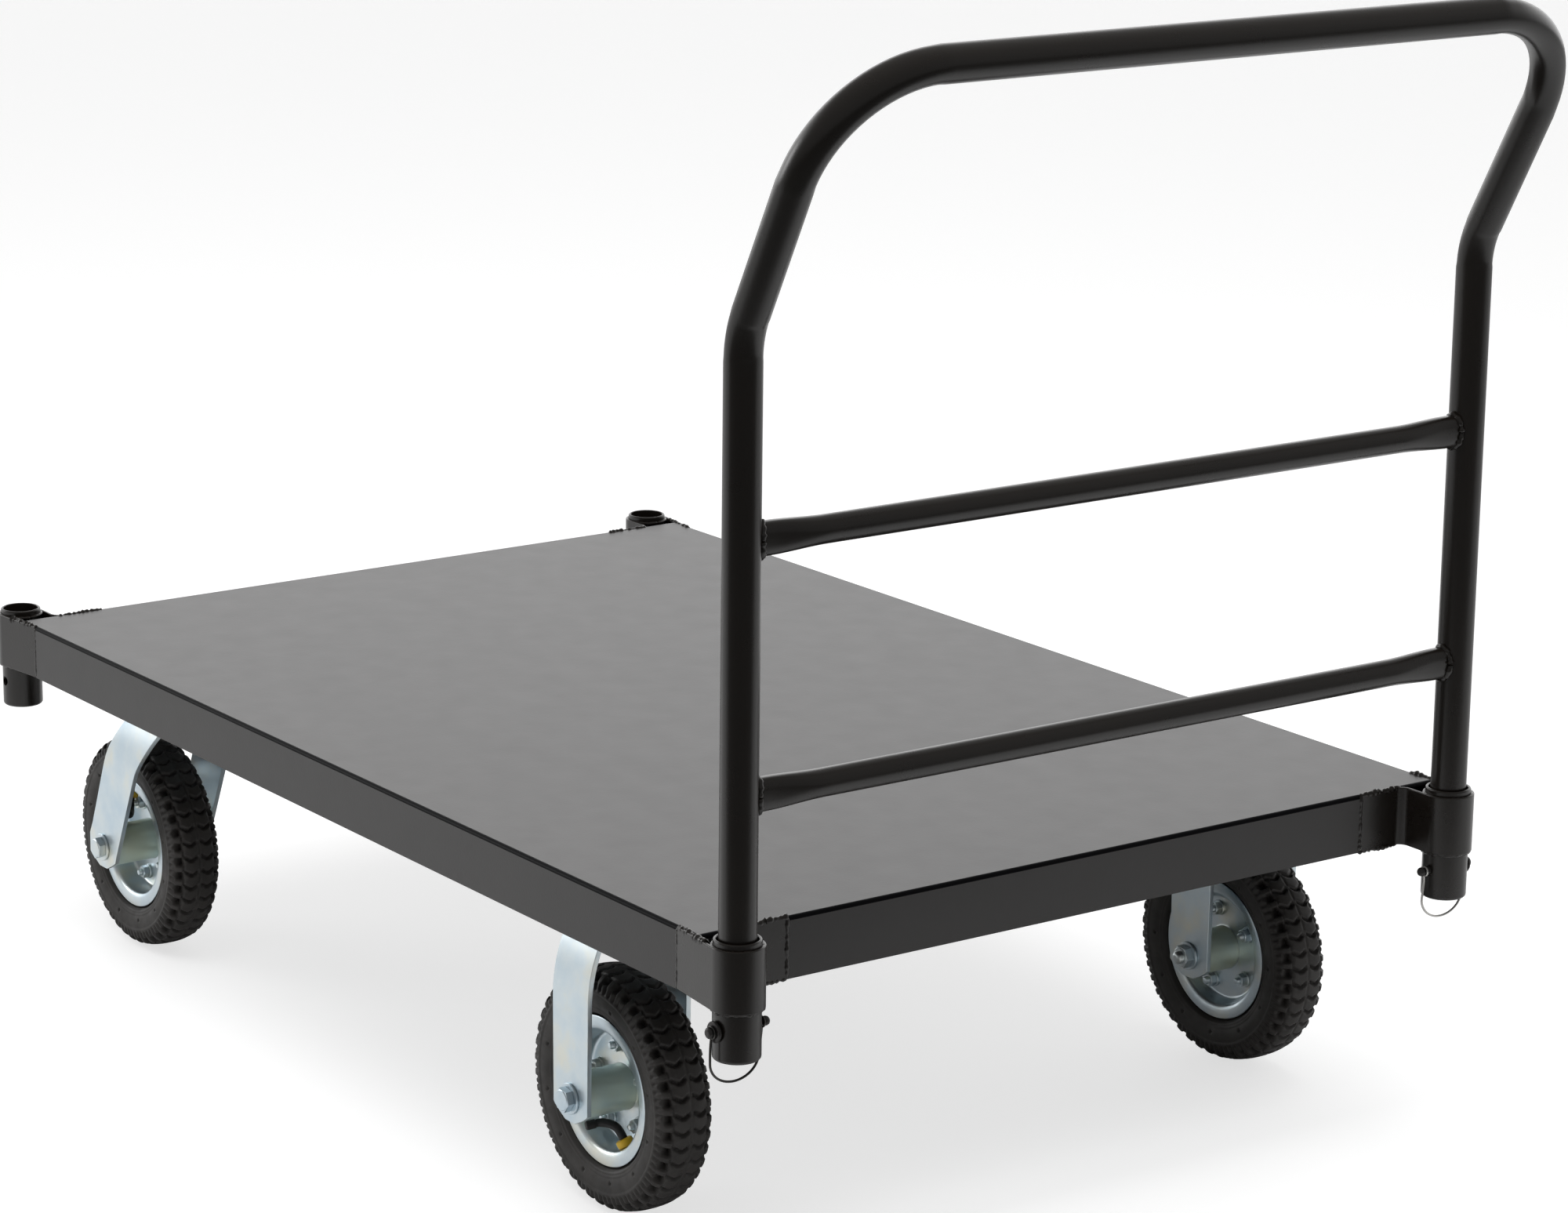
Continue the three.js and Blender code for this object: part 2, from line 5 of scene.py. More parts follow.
import bmesh
import bpy
import numpy as np
from mathutils import Matrix, Vector


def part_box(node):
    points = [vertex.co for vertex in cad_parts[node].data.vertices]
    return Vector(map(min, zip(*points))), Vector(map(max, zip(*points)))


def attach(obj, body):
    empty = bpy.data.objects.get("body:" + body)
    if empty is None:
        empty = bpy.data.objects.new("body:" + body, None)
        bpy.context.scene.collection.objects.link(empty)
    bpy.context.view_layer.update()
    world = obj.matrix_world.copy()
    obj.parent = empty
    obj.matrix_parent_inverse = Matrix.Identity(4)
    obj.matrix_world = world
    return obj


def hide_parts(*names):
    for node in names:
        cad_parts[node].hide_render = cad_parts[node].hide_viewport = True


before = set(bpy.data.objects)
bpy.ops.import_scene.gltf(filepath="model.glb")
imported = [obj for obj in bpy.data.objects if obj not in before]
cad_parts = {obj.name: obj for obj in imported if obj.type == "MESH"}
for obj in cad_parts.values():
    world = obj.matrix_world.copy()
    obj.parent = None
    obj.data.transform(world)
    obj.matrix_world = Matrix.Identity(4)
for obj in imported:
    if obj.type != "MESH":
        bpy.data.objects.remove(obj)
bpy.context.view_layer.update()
MM = 0.001  # pieces are modelled in millimetres, then set down in metres
WELD_DISTANCE = 0.001


def centre(node):
    low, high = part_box(node)
    return (low + high) / 2


# ---- places and sizes read from the frame ----
DECK_LOW, DECK_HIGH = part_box("deck_pan")
DECK_TOP = DECK_HIGH.z
DECK_X = (DECK_LOW.x + DECK_HIGH.x) / 2
DECK_HALF_L = (DECK_HIGH.x - DECK_LOW.x) / 2
DECK_HALF_W = (DECK_HIGH.y - DECK_LOW.y) / 2
SKIRT = DECK_HIGH.z - DECK_LOW.z
AXLE_Z = centre("tyre_rear_left").z
WHEEL_Y = abs(centre("tyre_rear_left").y)
LEG_X = centre("socket_tube_rear_left").x
LEG_Y = abs(centre("socket_tube_rear_left").y)
PIN_Z = centre("lock_pin_left").z
SIDES = (("left", -1), ("right", 1))
ENDS = (("rear", 1), ("front", -1))


# ---- camera ----
CAMERA_AZIMUTH, CAMERA_ELEVATION, CAMERA_ROLL = 56.025, 14.263, 0.212  # degrees
CAMERA_X, CAMERA_Y, CAMERA_Z = 3.2496, -2.2442, 1.0888  # metres from the middle of the deck top
LENS_MM, SENSOR_MM = 103.83, 36
LENS_SHIFT_X, LENS_SHIFT_Y = 0.095, -0.0015


def linked(name, data):
    """A new object for a mesh, a light or a camera, set in the scene."""
    made = bpy.data.objects.new(name, data)
    bpy.context.scene.collection.objects.link(made)
    return made


def make_camera():
    azimuth, elevation = radians(CAMERA_AZIMUTH), radians(CAMERA_ELEVATION)
    roll = radians(CAMERA_ROLL)
    place = Vector((CAMERA_X + DECK_X, CAMERA_Y, CAMERA_Z + DECK_TOP))
    back = Vector((
        sin(azimuth) * cos(elevation),
        -cos(azimuth) * cos(elevation),
        sin(elevation),
    ))
    level_right = Vector((cos(azimuth), sin(azimuth), 0))
    level_up = back.cross(level_right)
    right = level_right * cos(roll) + level_up * sin(roll)
    up = back.cross(right)
    data = bpy.data.cameras.new("camera")
    data.sensor_width, data.lens = SENSOR_MM, LENS_MM
    data.shift_x, data.shift_y = LENS_SHIFT_X, LENS_SHIFT_Y
    data.clip_end = 100
    camera = linked("camera", data)
    rows = [(right[i], up[i], back[i], place[i]) for i in range(3)]
    camera.matrix_world = Matrix((*rows, (0, 0, 0, 1)))
    bpy.context.scene.camera = camera


# ---- materials ----
def set_inputs(node, values):
    """Fixed values for a node's input sockets, by the names of the sockets."""
    for name, value in values.items():
        node.inputs[name].default_value = value


def new_material(name, color, roughness, metallic=0.0, specular=0.5):
    material = bpy.data.materials.new(name)
    material.use_nodes = True
    shader = material.node_tree.nodes["Principled BSDF"]
    set_inputs(shader, {"Base Color": (*color, 1), "Roughness": roughness})
    set_inputs(shader, {"Metallic": metallic, "Specular IOR Level": specular})
    return material, shader


def noise_node(tree, scale, detail):
    """Cloudy noise fixed to the piece. scale counts clouds to the metre."""
    noise = tree.nodes.new("ShaderNodeTexNoise")
    set_inputs(noise, {"Scale": scale, "Detail": detail})
    place = tree.nodes.new("ShaderNodeTexCoord")
    tree.links.new(place.outputs["Object"], noise.inputs["Vector"])
    return noise.outputs["Fac"]


def drive_by_noise(material, socket, scale, detail, stops):
    """Lets noise drive a socket. stops are (noise level, colour or grey level)."""
    tree = material.node_tree
    ramp = tree.nodes.new("ShaderNodeValToRGB")
    elements = ramp.color_ramp.elements
    while len(elements) < len(stops):
        elements.new(0.5)
    for element, (position, color) in zip(elements, stops):
        element.position = position
        element.color = (*color, 1) if isinstance(color, tuple) else (color, color, color, 1)
    tree.links.new(noise_node(tree, scale, detail), ramp.inputs["Fac"])
    tree.links.new(ramp.outputs["Color"], socket)


def add_bumps(material, shader, *bumps):
    """Chains bumps, each (noise scale, detail, strength, distance in metres)."""
    tree = material.node_tree
    normal = None
    for scale, detail, strength, distance in bumps:
        bump = tree.nodes.new("ShaderNodeBump")
        set_inputs(bump, {"Strength": strength, "Distance": distance})
        tree.links.new(noise_node(tree, scale, detail), bump.inputs["Height"])
        if normal:
            tree.links.new(normal, bump.inputs["Normal"])
        normal = bump.outputs["Normal"]
    tree.links.new(normal, shader.inputs["Normal"])


def paint_material(name, color, roughness, specular=0.5):
    """Black powder coat: fine orange peel, faint cloudiness in the gloss."""
    material, shader = new_material(name, color, roughness, specular=specular)
    darker, lighter = tuple(c * 0.92 for c in color), tuple(c * 1.1 for c in color)
    gloss = [(0.25, roughness - 0.012), (0.8, roughness + 0.015)]
    drive_by_noise(material, shader.inputs["Base Color"], 9, 4, [(0.3, darker), (0.75, lighter)])
    drive_by_noise(material, shader.inputs["Roughness"], 35, 5, gloss)
    add_bumps(material, shader, (520, 2, 0.12, 0.0004), (60, 2, 0.05, 0.001))
    return material


def zinc_material():
    """Bright zinc plate: cool silver with faint yellow and blue passivation clouds."""
    blue, silver, yellow = (0.50, 0.60, 0.67), (0.60, 0.67, 0.70), (0.70, 0.69, 0.60)
    material, shader = new_material("zinc_plate", silver, 0.3, metallic=1.0)
    clouds = [(0.28, blue), (0.52, silver), (0.76, yellow)]
    drive_by_noise(material, shader.inputs["Base Color"], 28, 5, clouds)
    drive_by_noise(material, shader.inputs["Roughness"], 90, 4, [(0.2, 0.26), (0.8, 0.42)])
    add_bumps(material, shader, (260, 3, 0.08, 0.0005))
    return material


def hub_material():
    """Plated hub tube: smooth steel that drifts between blue-grey and olive."""
    blue_grey, olive = (0.62, 0.78, 0.80), (0.74, 0.74, 0.52)
    material, shader = new_material("hub_steel", (0.66, 0.74, 0.66), 0.42, metallic=0.7)
    drive_by_noise(material, shader.inputs["Base Color"], 11, 3, [(0.32, blue_grey), (0.68, olive)])
    add_bumps(material, shader, (300, 2, 0.05, 0.0004))
    return material


def rubber_material(name, color, roughness):
    """Moulded rubber: matt, slightly mottled, with a fine skin."""
    material, shader = new_material(name, color, roughness, specular=0.35)
    darker, lighter = tuple(c * 0.75 for c in color), tuple(c * 1.35 for c in color)
    gloss = [(0.2, roughness - 0.1), (0.8, roughness + 0.1)]
    drive_by_noise(material, shader.inputs["Base Color"], 45, 5, [(0.3, darker), (0.75, lighter)])
    drive_by_noise(material, shader.inputs["Roughness"], 120, 3, gloss)
    add_bumps(material, shader, (420, 3, 0.15, 0.0005))
    return material


def plain_metal(name, color, roughness, metallic=1.0):
    """Bare or coated metal of one colour, with a slightly uneven gloss."""
    material, shader = new_material(name, color, roughness, metallic=metallic)
    gloss = [(0.2, max(roughness - 0.08, 0.05)), (0.8, roughness + 0.08)]
    drive_by_noise(material, shader.inputs["Roughness"], 150, 3, gloss)
    add_bumps(material, shader, (400, 2, 0.08, 0.0003))
    return material


MATERIALS = {
    "deck_paint": paint_material("deck_paint", (0.0135, 0.0118, 0.0112), 0.36),
    # painted shade: a darker, duller copy of the paint for the rolled folds, standing in for their dark
    # reflection
    "fold_painted_shade": paint_material("fold_painted_shade", (0.0026, 0.0026, 0.0031), 0.4, specular=0.05),
    "frame_paint": paint_material("frame_paint", (0.0088, 0.0068, 0.0052), 0.28),
    "zinc_plate": zinc_material(),
    "hub_steel": hub_material(),
    "pin_black": plain_metal("pin_black", (0.03, 0.028, 0.027), 0.35, metallic=0.6),
    "spring_wire": plain_metal("spring_wire", (0.50, 0.49, 0.47), 0.3),
    # painted shade: a darker copy of the wire metal for the left bail, which is the same wire seen in
    # shade
    "spring_wire_painted_shade": plain_metal("spring_wire_painted_shade", (0.06, 0.058, 0.055), 0.35),
    "tyre": rubber_material("tyre", (0.0290, 0.0262, 0.0240), 0.54),
    "rubber": rubber_material("rubber", (0.010, 0.0095, 0.0095), 0.5),
    "valve_collar": plain_metal("valve_collar", (0.70, 0.44, 0.02), 0.42, metallic=0.1),
}


# ---- mesh helpers ----
SHARP_DEGREES = 35  # edges that bend by more than this are drawn sharp


def shade(mesh, sharp_degrees=SHARP_DEGREES):
    mesh.polygons.foreach_set("use_smooth", [True] * len(mesh.polygons))
    mesh.set_sharp_from_angle(angle=radians(sharp_degrees))


def make_object(name, vertices, faces, sharp_degrees=SHARP_DEGREES):
    mesh = bpy.data.meshes.new(name)
    mesh.from_pydata([tuple(v) for v in vertices], [], [tuple(f) for f in faces])
    tidy = bmesh.new()
    tidy.from_mesh(mesh)
    bmesh.ops.remove_doubles(tidy, verts=tidy.verts, dist=WELD_DISTANCE)
    bmesh.ops.recalc_face_normals(tidy, faces=tidy.faces)
    tidy.to_mesh(mesh)
    tidy.free()
    shade(mesh, sharp_degrees)
    mesh.update()
    return linked(name, mesh)


def bake(thing):
    """Turns an object's modifiers into its mesh."""
    graph = bpy.context.evaluated_depsgraph_get()
    mesh = bpy.data.meshes.new_from_object(thing.evaluated_get(graph))
    thing.modifiers.clear()
    thing.data = mesh


def applied(thing):
    bake(thing)
    shade(thing.data)
    return thing


def bevelled(thing, width, segments=2, angle=SHARP_DEGREES):
    bevel = thing.modifiers.new("bevel", "BEVEL")
    bevel.width = width
    bevel.segments = segments
    bevel.limit_method = "ANGLE"
    bevel.angle_limit = radians(angle)
    bevel.harden_normals = False
    return applied(thing)


def joined(name, parts):
    """One object from several, each a closed body."""
    whole = bmesh.new()
    for part in parts:
        whole.from_mesh(part.data)
        bpy.data.objects.remove(part)
    mesh = bpy.data.meshes.new(name)
    whole.to_mesh(mesh)
    whole.free()
    return linked(name, mesh)


def grid_faces(rows, columns, wrap_rows=False, wrap_columns=True):
    faces = []
    for i in range(rows if wrap_rows else rows - 1):
        for j in range(columns if wrap_columns else columns - 1):
            a, b = i * columns + j, i * columns + (j + 1) % columns
            c, d = ((i + 1) % rows) * columns + (j + 1) % columns, ((i + 1) % rows) * columns + j
            faces.append((a, b, c, d))
    return faces


def lathe(name, profile, segments=72, sharp_degrees=SHARP_DEGREES):
    """Turns a profile of (radius, along) about Y. A closed loop, or one that ends on the axis."""
    on_axis = profile[0][0] == 0
    rings = [p for p in profile if p[0] > 0]
    vertices = []
    for radius, along in rings:
        for j in range(segments):
            a = 2 * pi * j / segments
            vertices.append((radius * cos(a), along, radius * sin(a)))
    faces = grid_faces(len(rings), segments, wrap_rows=not on_axis)
    if on_axis:
        faces.append(tuple(range(segments)))
        last = (len(rings) - 1) * segments
        faces.append(tuple(range(last + segments - 1, last - 1, -1)))
    return make_object(name, vertices, faces, sharp_degrees)


def frames_along(points):
    """Parallel-carried (side, up) pairs at each point of a path."""
    steps = [(b - a).normalized() for a, b in zip(points, points[1:])]
    tangents = [(a + b).normalized() for a, b in zip(steps[:1] + steps, steps + steps[-1:])]
    side = tangents[0].orthogonal().normalized()
    pairs = []
    for tangent in tangents:
        side = (side - tangent * side.dot(tangent)).normalized()
        pairs.append((side, tangent.cross(side)))
    return pairs


def bend_vectors(points):
    """Curvature at each point of a path: points to the inside of the bend, 1 / radius long."""
    steps = [b - a for a, b in zip(points, points[1:])]
    bends = [Vector()]
    for before, after in zip(steps, steps[1:]):
        span = (before.length + after.length) / 2
        bends.append((after.normalized() - before.normalized()) / span)
    bends.append(Vector())
    return [(a + 2 * b + c) / 4 for a, b, c in zip(bends[:1] + bends, bends, bends[1:] + bends[-1:])]


FULL_PRESS = 0.12  # a bend this tight, as bar radius over bend radius, is pressed in full


def sweep(name, points, radius, sides=24, sharp_degrees=SHARP_DEGREES, flatten=0.0):
    """A round bar along a path. radius is a number or one number for each point.

    flatten presses the section in the plane of a bend, as bending a tube does.
    """
    points = [Vector(p) for p in points]
    radii = list(radius) if hasattr(radius, "__len__") else [radius] * len(points)
    vertices = []
    for point, (side, up), r, bend in zip(points, frames_along(points), radii, bend_vectors(points)):
        pressed = flatten * min(bend.length * r / FULL_PRESS, 1)
        inward = bend.normalized()
        for j in range(sides):
            a = 2 * pi * j / sides
            offset = (side * cos(a) + up * sin(a)) * r
            offset -= inward * offset.dot(inward) * pressed
            vertices.append(point + offset)
    faces = grid_faces(len(points), sides)
    faces.append(tuple(range(sides - 1, -1, -1)))
    last = (len(points) - 1) * sides
    faces.append(tuple(range(last, last + sides)))
    return make_object(name, vertices, faces, sharp_degrees)


def prism(name, outline, low, high, axis="z", bevel=0.0, segments=2):
    """Raises a plan outline between two levels. axis names the direction it is raised in."""
    count = len(outline)

    def place(u, v, level):
        return {"z": (u, v, level), "y": (u, level, v), "x": (level, u, v)}[axis]

    vertices = [place(u, v, low) for u, v in outline] + [place(u, v, high) for u, v in outline]
    faces = [tuple(range(count - 1, -1, -1)), tuple(range(count, 2 * count))]
    faces += [(i, (i + 1) % count, count + (i + 1) % count, count + i) for i in range(count)]
    made = make_object(name, vertices, faces)
    return bevelled(made, bevel, segments) if bevel else made


def arc(cx, cy, radius, start, end, steps):
    """Points of an arc, angles in degrees."""
    angles = np.radians(np.linspace(start, end, steps + 1))
    return [(cx + radius * cos(a), cy + radius * sin(a)) for a in angles]


def hexagon(radius):
    return arc(0, 0, radius, 0, 300, 5)


def moved(thing, x=0.0, y=0.0, z=0.0):
    thing.data.transform(Matrix.Translation((x, y, z)))
    return thing


def turned_by(thing, angle, axis):
    """Turns a piece about an axis through its origin, by an angle in degrees."""
    thing.data.transform(Matrix.Rotation(radians(angle), 4, axis))
    return thing


def flipped_y(thing):
    """The mirror image in the plane y = 0."""
    thing.data.transform(Matrix.Diagonal((1, -1, 1, 1)))
    thing.data.flip_normals()
    return thing


def on_side(thing, side):
    return flipped_y(thing) if side > 0 else thing


def copy_of(thing, name):
    return linked(name, thing.data.copy())


def flat_faces_kept_flat(thing):
    """Shades big faces flat and lets the small bevel faces carry the curve between them."""
    weighted = thing.modifiers.new("weighted", "WEIGHTED_NORMAL")
    weighted.keep_sharp = True
    bake(thing)


def dress(thing, material, body, *nodes):
    """Gives a piece its material, its body and the CAD nodes that it stands for."""
    flat_faces_kept_flat(thing)
    thing.data.materials.clear()
    thing.data.materials.append(MATERIALS[material])
    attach(thing, body)
    if nodes:
        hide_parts(*nodes)
    return thing


def smooth_path(points, steps):
    """Catmull-Rom curve through the points."""
    points = [np.array(p, float) for p in points]
    padded = [2 * points[0] - points[1]] + points + [2 * points[-1] - points[-2]]
    out = []
    for i in range(1, len(padded) - 2):
        p0, p1, p2, p3 = padded[i - 1:i + 3]
        for k in range(steps):
            t = k / steps
            out.append(0.5 * (2 * p1 + (p2 - p0) * t + (2 * p0 - 5 * p1 + 4 * p2 - p3) * t * t
                              + (3 * p1 - p0 - 3 * p2 + p3) * t ** 3))
    out.append(points[-1])
    return out


def weld_bead(name, points, radius, seed, rough=0.14, spacing=1.5):
    """A lumpy bead along a path: overlapping ripples of uneven width."""
    rng = np.random.default_rng(seed)
    points = [Vector(p) for p in points]
    lengths = [(b - a).length for a, b in zip(points, points[1:])]
    count = max(int(sum(lengths) / spacing), 4)
    stations, radii = [], []
    phase = rng.uniform(0, 6.28)
    lump = 0.0
    for k in range(count + 1):
        along = sum(lengths) * k / count
        i = 0
        while i < len(lengths) - 1 and along > lengths[i]:
            along -= lengths[i]
            i += 1
        stations.append(points[i].lerp(points[i + 1], min(along / lengths[i], 1)))
        lump = 0.6 * lump + rng.standard_normal()
        ripple = rough * (sin(1.9 * k + phase) + 0.8 * lump)
        fade = 0.7 if k in (0, count) else 1.0
        radii.append(radius * fade * min(max(1 + ripple, 0.5), 1.6))
    return sweep(name, stations, radii, sides=10, sharp_degrees=80)


# ---- deck and corner sockets (millimetres from the middle of the deck top) ----
HALF_L, HALF_W, SKIRT_MM = DECK_HALF_L / MM, DECK_HALF_W / MM, SKIRT / MM
SOCKET_X, SOCKET_Y = (LEG_X - DECK_X) / MM, LEG_Y / MM
SHEET, BEND = 2.0, 3.2
BAND_OUTER, BAND_THICK, SEAM_IN, SEAM_SIDE, FILLET = 21.9, 2.6, 28.5, 297.0, 8.0
SOCKET_LOW, SOCKET_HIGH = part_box("socket_tube_rear_left")
TUBE_OUTER, TUBE_BORE = 19.0, 16.6
TUBE_ABOVE, TUBE_BELOW = (SOCKET_HIGH.z - DECK_TOP) / MM, (DECK_TOP - SOCKET_LOW.z) / MM
PIN_DROP = (PIN_Z - DECK_TOP) / MM
GAP = 0.3  # left round each band where the pan is cut for it
ROLLED_BELOW = 0.995  # a face whose normal is less square than this belongs to a rolled edge
GUSSET_INSET, GUSSET_TOP, GUSSET_FOOT = 24, -9, -14
COLLAR_WELD_R, UNDER_WELD_R = 20.0, 19.7
CORNERS = [(f"{end}_{side}", e, s) for end, e in ENDS for side, s in SIDES]


def set_down(thing, x=DECK_X, y=0.0, z=DECK_TOP):
    """From millimetres about its own origin to metres at a place in the cart."""
    thing.data.transform(Matrix.Translation((x, y, z)) @ Matrix.Scale(MM, 4))
    return thing


def boolean_cut(thing, cutter):
    cut = thing.modifiers.new("cut", "BOOLEAN")
    cut.operation = "DIFFERENCE"
    cut.object = cutter
    cut.solver = "EXACT"
    applied(thing)
    bpy.data.objects.remove(cutter)
    return thing


def to_corner(outline, end, side):
    """Carries a plan drawn for the rear left corner to any corner."""
    return [(x * end, -side * y) for x, y in outline]


def band_outline(grow=0.0):
    """Plan of the rear left corner band: seam, round the socket, back to the end skirt."""
    cx, cy = SOCKET_X, -SOCKET_Y
    outer, inner = BAND_OUTER + grow, BAND_OUTER - BAND_THICK - grow
    seam = Vector((HALF_L - SEAM_IN, -HALF_W))
    to_socket = Vector((cx, cy)) - seam
    ramp = atan2(to_socket.y, to_socket.x) - asin(BAND_OUTER / to_socket.length)
    along = Vector((cos(ramp), sin(ramp)))
    inward = Vector((-along.y, along.x))
    start = seam - along * grow
    first, last = start - inward * grow, start + inward * (BAND_THICK + grow)
    fx, fy = HALF_L + FILLET, cy + BAND_OUTER + FILLET
    near, far = FILLET - grow, FILLET + BAND_THICK + grow
    from_angle = degrees(ramp) - 90
    return [
        tuple(first),
        *arc(cx, cy, outer, from_angle, 90, 28),
        *arc(fx, fy, near, 270, 180, 10),
        (fx - near, -SEAM_SIDE + grow),
        (fx - far, -SEAM_SIDE + grow),
        *arc(fx, fy, far, 180, 270, 10),
        *arc(cx, cy, inner, 90, from_angle, 28),
        tuple(last),
    ]


def folded_pan():
    """The sheet with its four sides folded down round a small bend."""
    shell = bmesh.new()
    bmesh.ops.create_cube(shell, size=1)
    size = (2 * HALF_L, 2 * HALF_W, SKIRT_MM)
    bmesh.ops.transform(shell, matrix=Matrix.Diagonal((*size, 1)), verts=shell.verts)
    bmesh.ops.translate(shell, vec=(0, 0, -SKIRT_MM / 2), verts=shell.verts)
    underside = [f for f in shell.faces if f.normal.z < -0.5]
    bmesh.ops.delete(shell, geom=underside, context="FACES_ONLY")
    folds = [e for e in shell.edges if all(v.co.z > -1 for v in e.verts)]
    bmesh.ops.bevel(shell, geom=folds, offset=BEND, segments=5, profile=0.5, affect="EDGES")
    mesh = bpy.data.meshes.new("deck_sheet")
    shell.to_mesh(mesh)
    shell.free()
    pan = linked("deck_sheet", mesh)
    thick = pan.modifiers.new("sheet", "SOLIDIFY")
    thick.thickness = SHEET
    thick.offset = -1
    thick.use_even_offset = True
    return applied(pan)


def paint_shade_on_folds(pan):
    """Painted shade: the rolled edges get a duller, darker paint than the flat sheet, standing in for the
    dark room that their bend reflects.
    """
    pan.data.materials.append(MATERIALS["fold_painted_shade"])
    for face in pan.data.polygons:
        rolled = max(abs(part) for part in face.normal) < ROLLED_BELOW
        if rolled and face.center.z > DECK_TOP - (BEND + GAP) * MM:
            face.material_index = 1


def make_deck():
    pan = folded_pan()
    gap_plan = [
        (HALF_L - SEAM_IN - GAP, -HALF_W - 2),
        (HALF_L + 2, -HALF_W - 2),
        (HALF_L + 2, -SEAM_SIDE + GAP),
        (HALF_L - SEAM_IN - GAP, -SEAM_SIDE + GAP),
    ]
    for _, end, side in CORNERS:
        gap = prism("gap", to_corner(gap_plan, end, side), -SKIRT_MM - 2, -BEND)
        notch = prism("notch", to_corner(band_outline(GAP), end, side), -SKIRT_MM - 2, 2)
        boolean_cut(boolean_cut(pan, gap), notch)
    dress(set_down(pan), "deck_paint", "frame", "deck_pan")
    paint_shade_on_folds(pan)


def upright(thing):
    """Turns a piece made about Y to stand about Z."""
    return turned_by(thing, 90, "X")


def socket_tube(name):
    """Welded tube with a rolled top lip, rounded foot and cross holes for the lock pin."""
    profile = [
        (TUBE_BORE, -TUBE_BELOW + 1.2), (TUBE_BORE + 0.8, -TUBE_BELOW),
        (TUBE_OUTER - 2.0, -TUBE_BELOW), (TUBE_OUTER - 0.9, -TUBE_BELOW + 0.5),
        (TUBE_OUTER - 0.2, -TUBE_BELOW + 1.4), (TUBE_OUTER, -TUBE_BELOW + 2.6),
        (TUBE_OUTER, TUBE_ABOVE - 1.2), (TUBE_OUTER - 0.4, TUBE_ABOVE - 0.4),
        (TUBE_OUTER - 1.1, TUBE_ABOVE), (TUBE_BORE + 0.5, TUBE_ABOVE), (TUBE_BORE, TUBE_ABOVE - 0.6),
    ]
    tube = upright(lathe(name, profile, 72))
    hole = lathe("hole", [(0, -30), (CROSS_HOLE_R, -30), (CROSS_HOLE_R, 30), (0, 30)], 32)
    return boolean_cut(tube, moved(hole, z=PIN_DROP))


def ring_path(radius, height, wobble, seed, count=60):
    """A closed circle about Z whose height and radius waver a little, as a hand weld does."""
    rng = np.random.default_rng(seed)
    waves = [(k, rng.uniform(-1, 1), rng.uniform(0, 6.28)) for k in (2, 3, 5, 8, 13)]
    points = []
    for i in range(count + 1):
        a = 2 * pi * i / count
        lift = sum(w * sin(k * a + p) for k, w, p in waves) * wobble / 2
        spread = sum(w * cos(k * a + p) for k, w, p in waves) * wobble / 3
        r = radius + spread
        points.append((r * cos(a), r * sin(a), height + lift))
    return points


def line_path(start, end, wobble, seed, count=14):
    rng = np.random.default_rng(seed)
    start, end = Vector(start), Vector(end)
    points = []
    for i in range(count + 1):
        shake = Vector(rng.uniform(-wobble, wobble, 3)) if 0 < i < count else Vector()
        points.append(start.lerp(end, i / count) + shake)
    return points


def corner_gusset(end, side):
    """Gusset that closes the gap between the deck's corner and the socket tube."""
    inside, in_tube_wall = HALF_L - GUSSET_INSET, (TUBE_OUTER + TUBE_BORE) / 2
    plan = [
        (inside, -HALF_W + 4),
        *arc(SOCKET_X, -SOCKET_Y, in_tube_wall, 258, 102, 14),
        (inside, -SOCKET_Y + 20),
    ]
    return prism("gusset", to_corner(plan, end, side), GUSSET_FOOT, GUSSET_TOP, bevel=0.6)


def corner_welds(name, end, side, seed):
    """Beads round the tube, along both deck joints, down both seams and under the band's edge."""
    outline = band_outline()
    ramp_start, top_of_ramp = Vector(outline[-1]), Vector(outline[-2])
    deck_corner = ramp_start.lerp(top_of_ramp, 0.74)
    inner_x, inner_y = HALF_L - BAND_THICK, -SOCKET_Y + BAND_OUTER + FILLET
    seam_x, foot = HALF_L - SEAM_IN, -SKIRT_MM + 0.8
    lines = [
        # start, end, wobble, radius, roughness
        ((*ramp_start, -1.2), (*deck_corner, -1.4), 0.6, 2.6, 0.2),
        ((inner_x + 0.6, -SEAM_SIDE + 1, -0.8), (inner_x + 0.4, inner_y - 6, -1.0), 0.6, 2.2, 0.2),
        ((seam_x, -HALF_W + 2.0, foot), (seam_x, -HALF_W + 2.0, -1.5), 0.2, 2.5, 0.05),
        ((HALF_L - 1.5, -SEAM_SIDE, foot), (HALF_L - 1.5, -SEAM_SIDE, -1.2), 0.3, 2.3, 0.1),
        ((inner_x + 1.2, -SEAM_SIDE, -SKIRT_MM), (inner_x + 1.2, inner_y - 4, -SKIRT_MM), 0.4, 2.0, 0.2),
    ]
    beads = []
    for index, (start, finish, wobble, radius, rough) in enumerate(lines):
        path = line_path(start, finish, wobble, seed + index)
        beads.append(weld_bead("bead", path, radius, seed + index, rough))
    for bead in beads:
        bead.data.transform(Matrix.Diagonal((end, -side, 1, 1)))
        if end * -side < 0:
            bead.data.flip_normals()
    at = (end * SOCKET_X, side * SOCKET_Y, 0)
    collar_path = ring_path(COLLAR_WELD_R, -1.4, 0.3, seed + 5)
    under_path = ring_path(UNDER_WELD_R, -SKIRT_MM - 0.2, 0.6, seed + 6)
    collar = weld_bead("bead", collar_path, 1.5, seed + 5, 0.08)
    under = weld_bead("bead", under_path, 1.6, seed + 6, 0.14)
    beads += [moved(collar, *at), moved(under, *at), corner_gusset(end, side)]
    return joined(f"weld_{name}", beads)


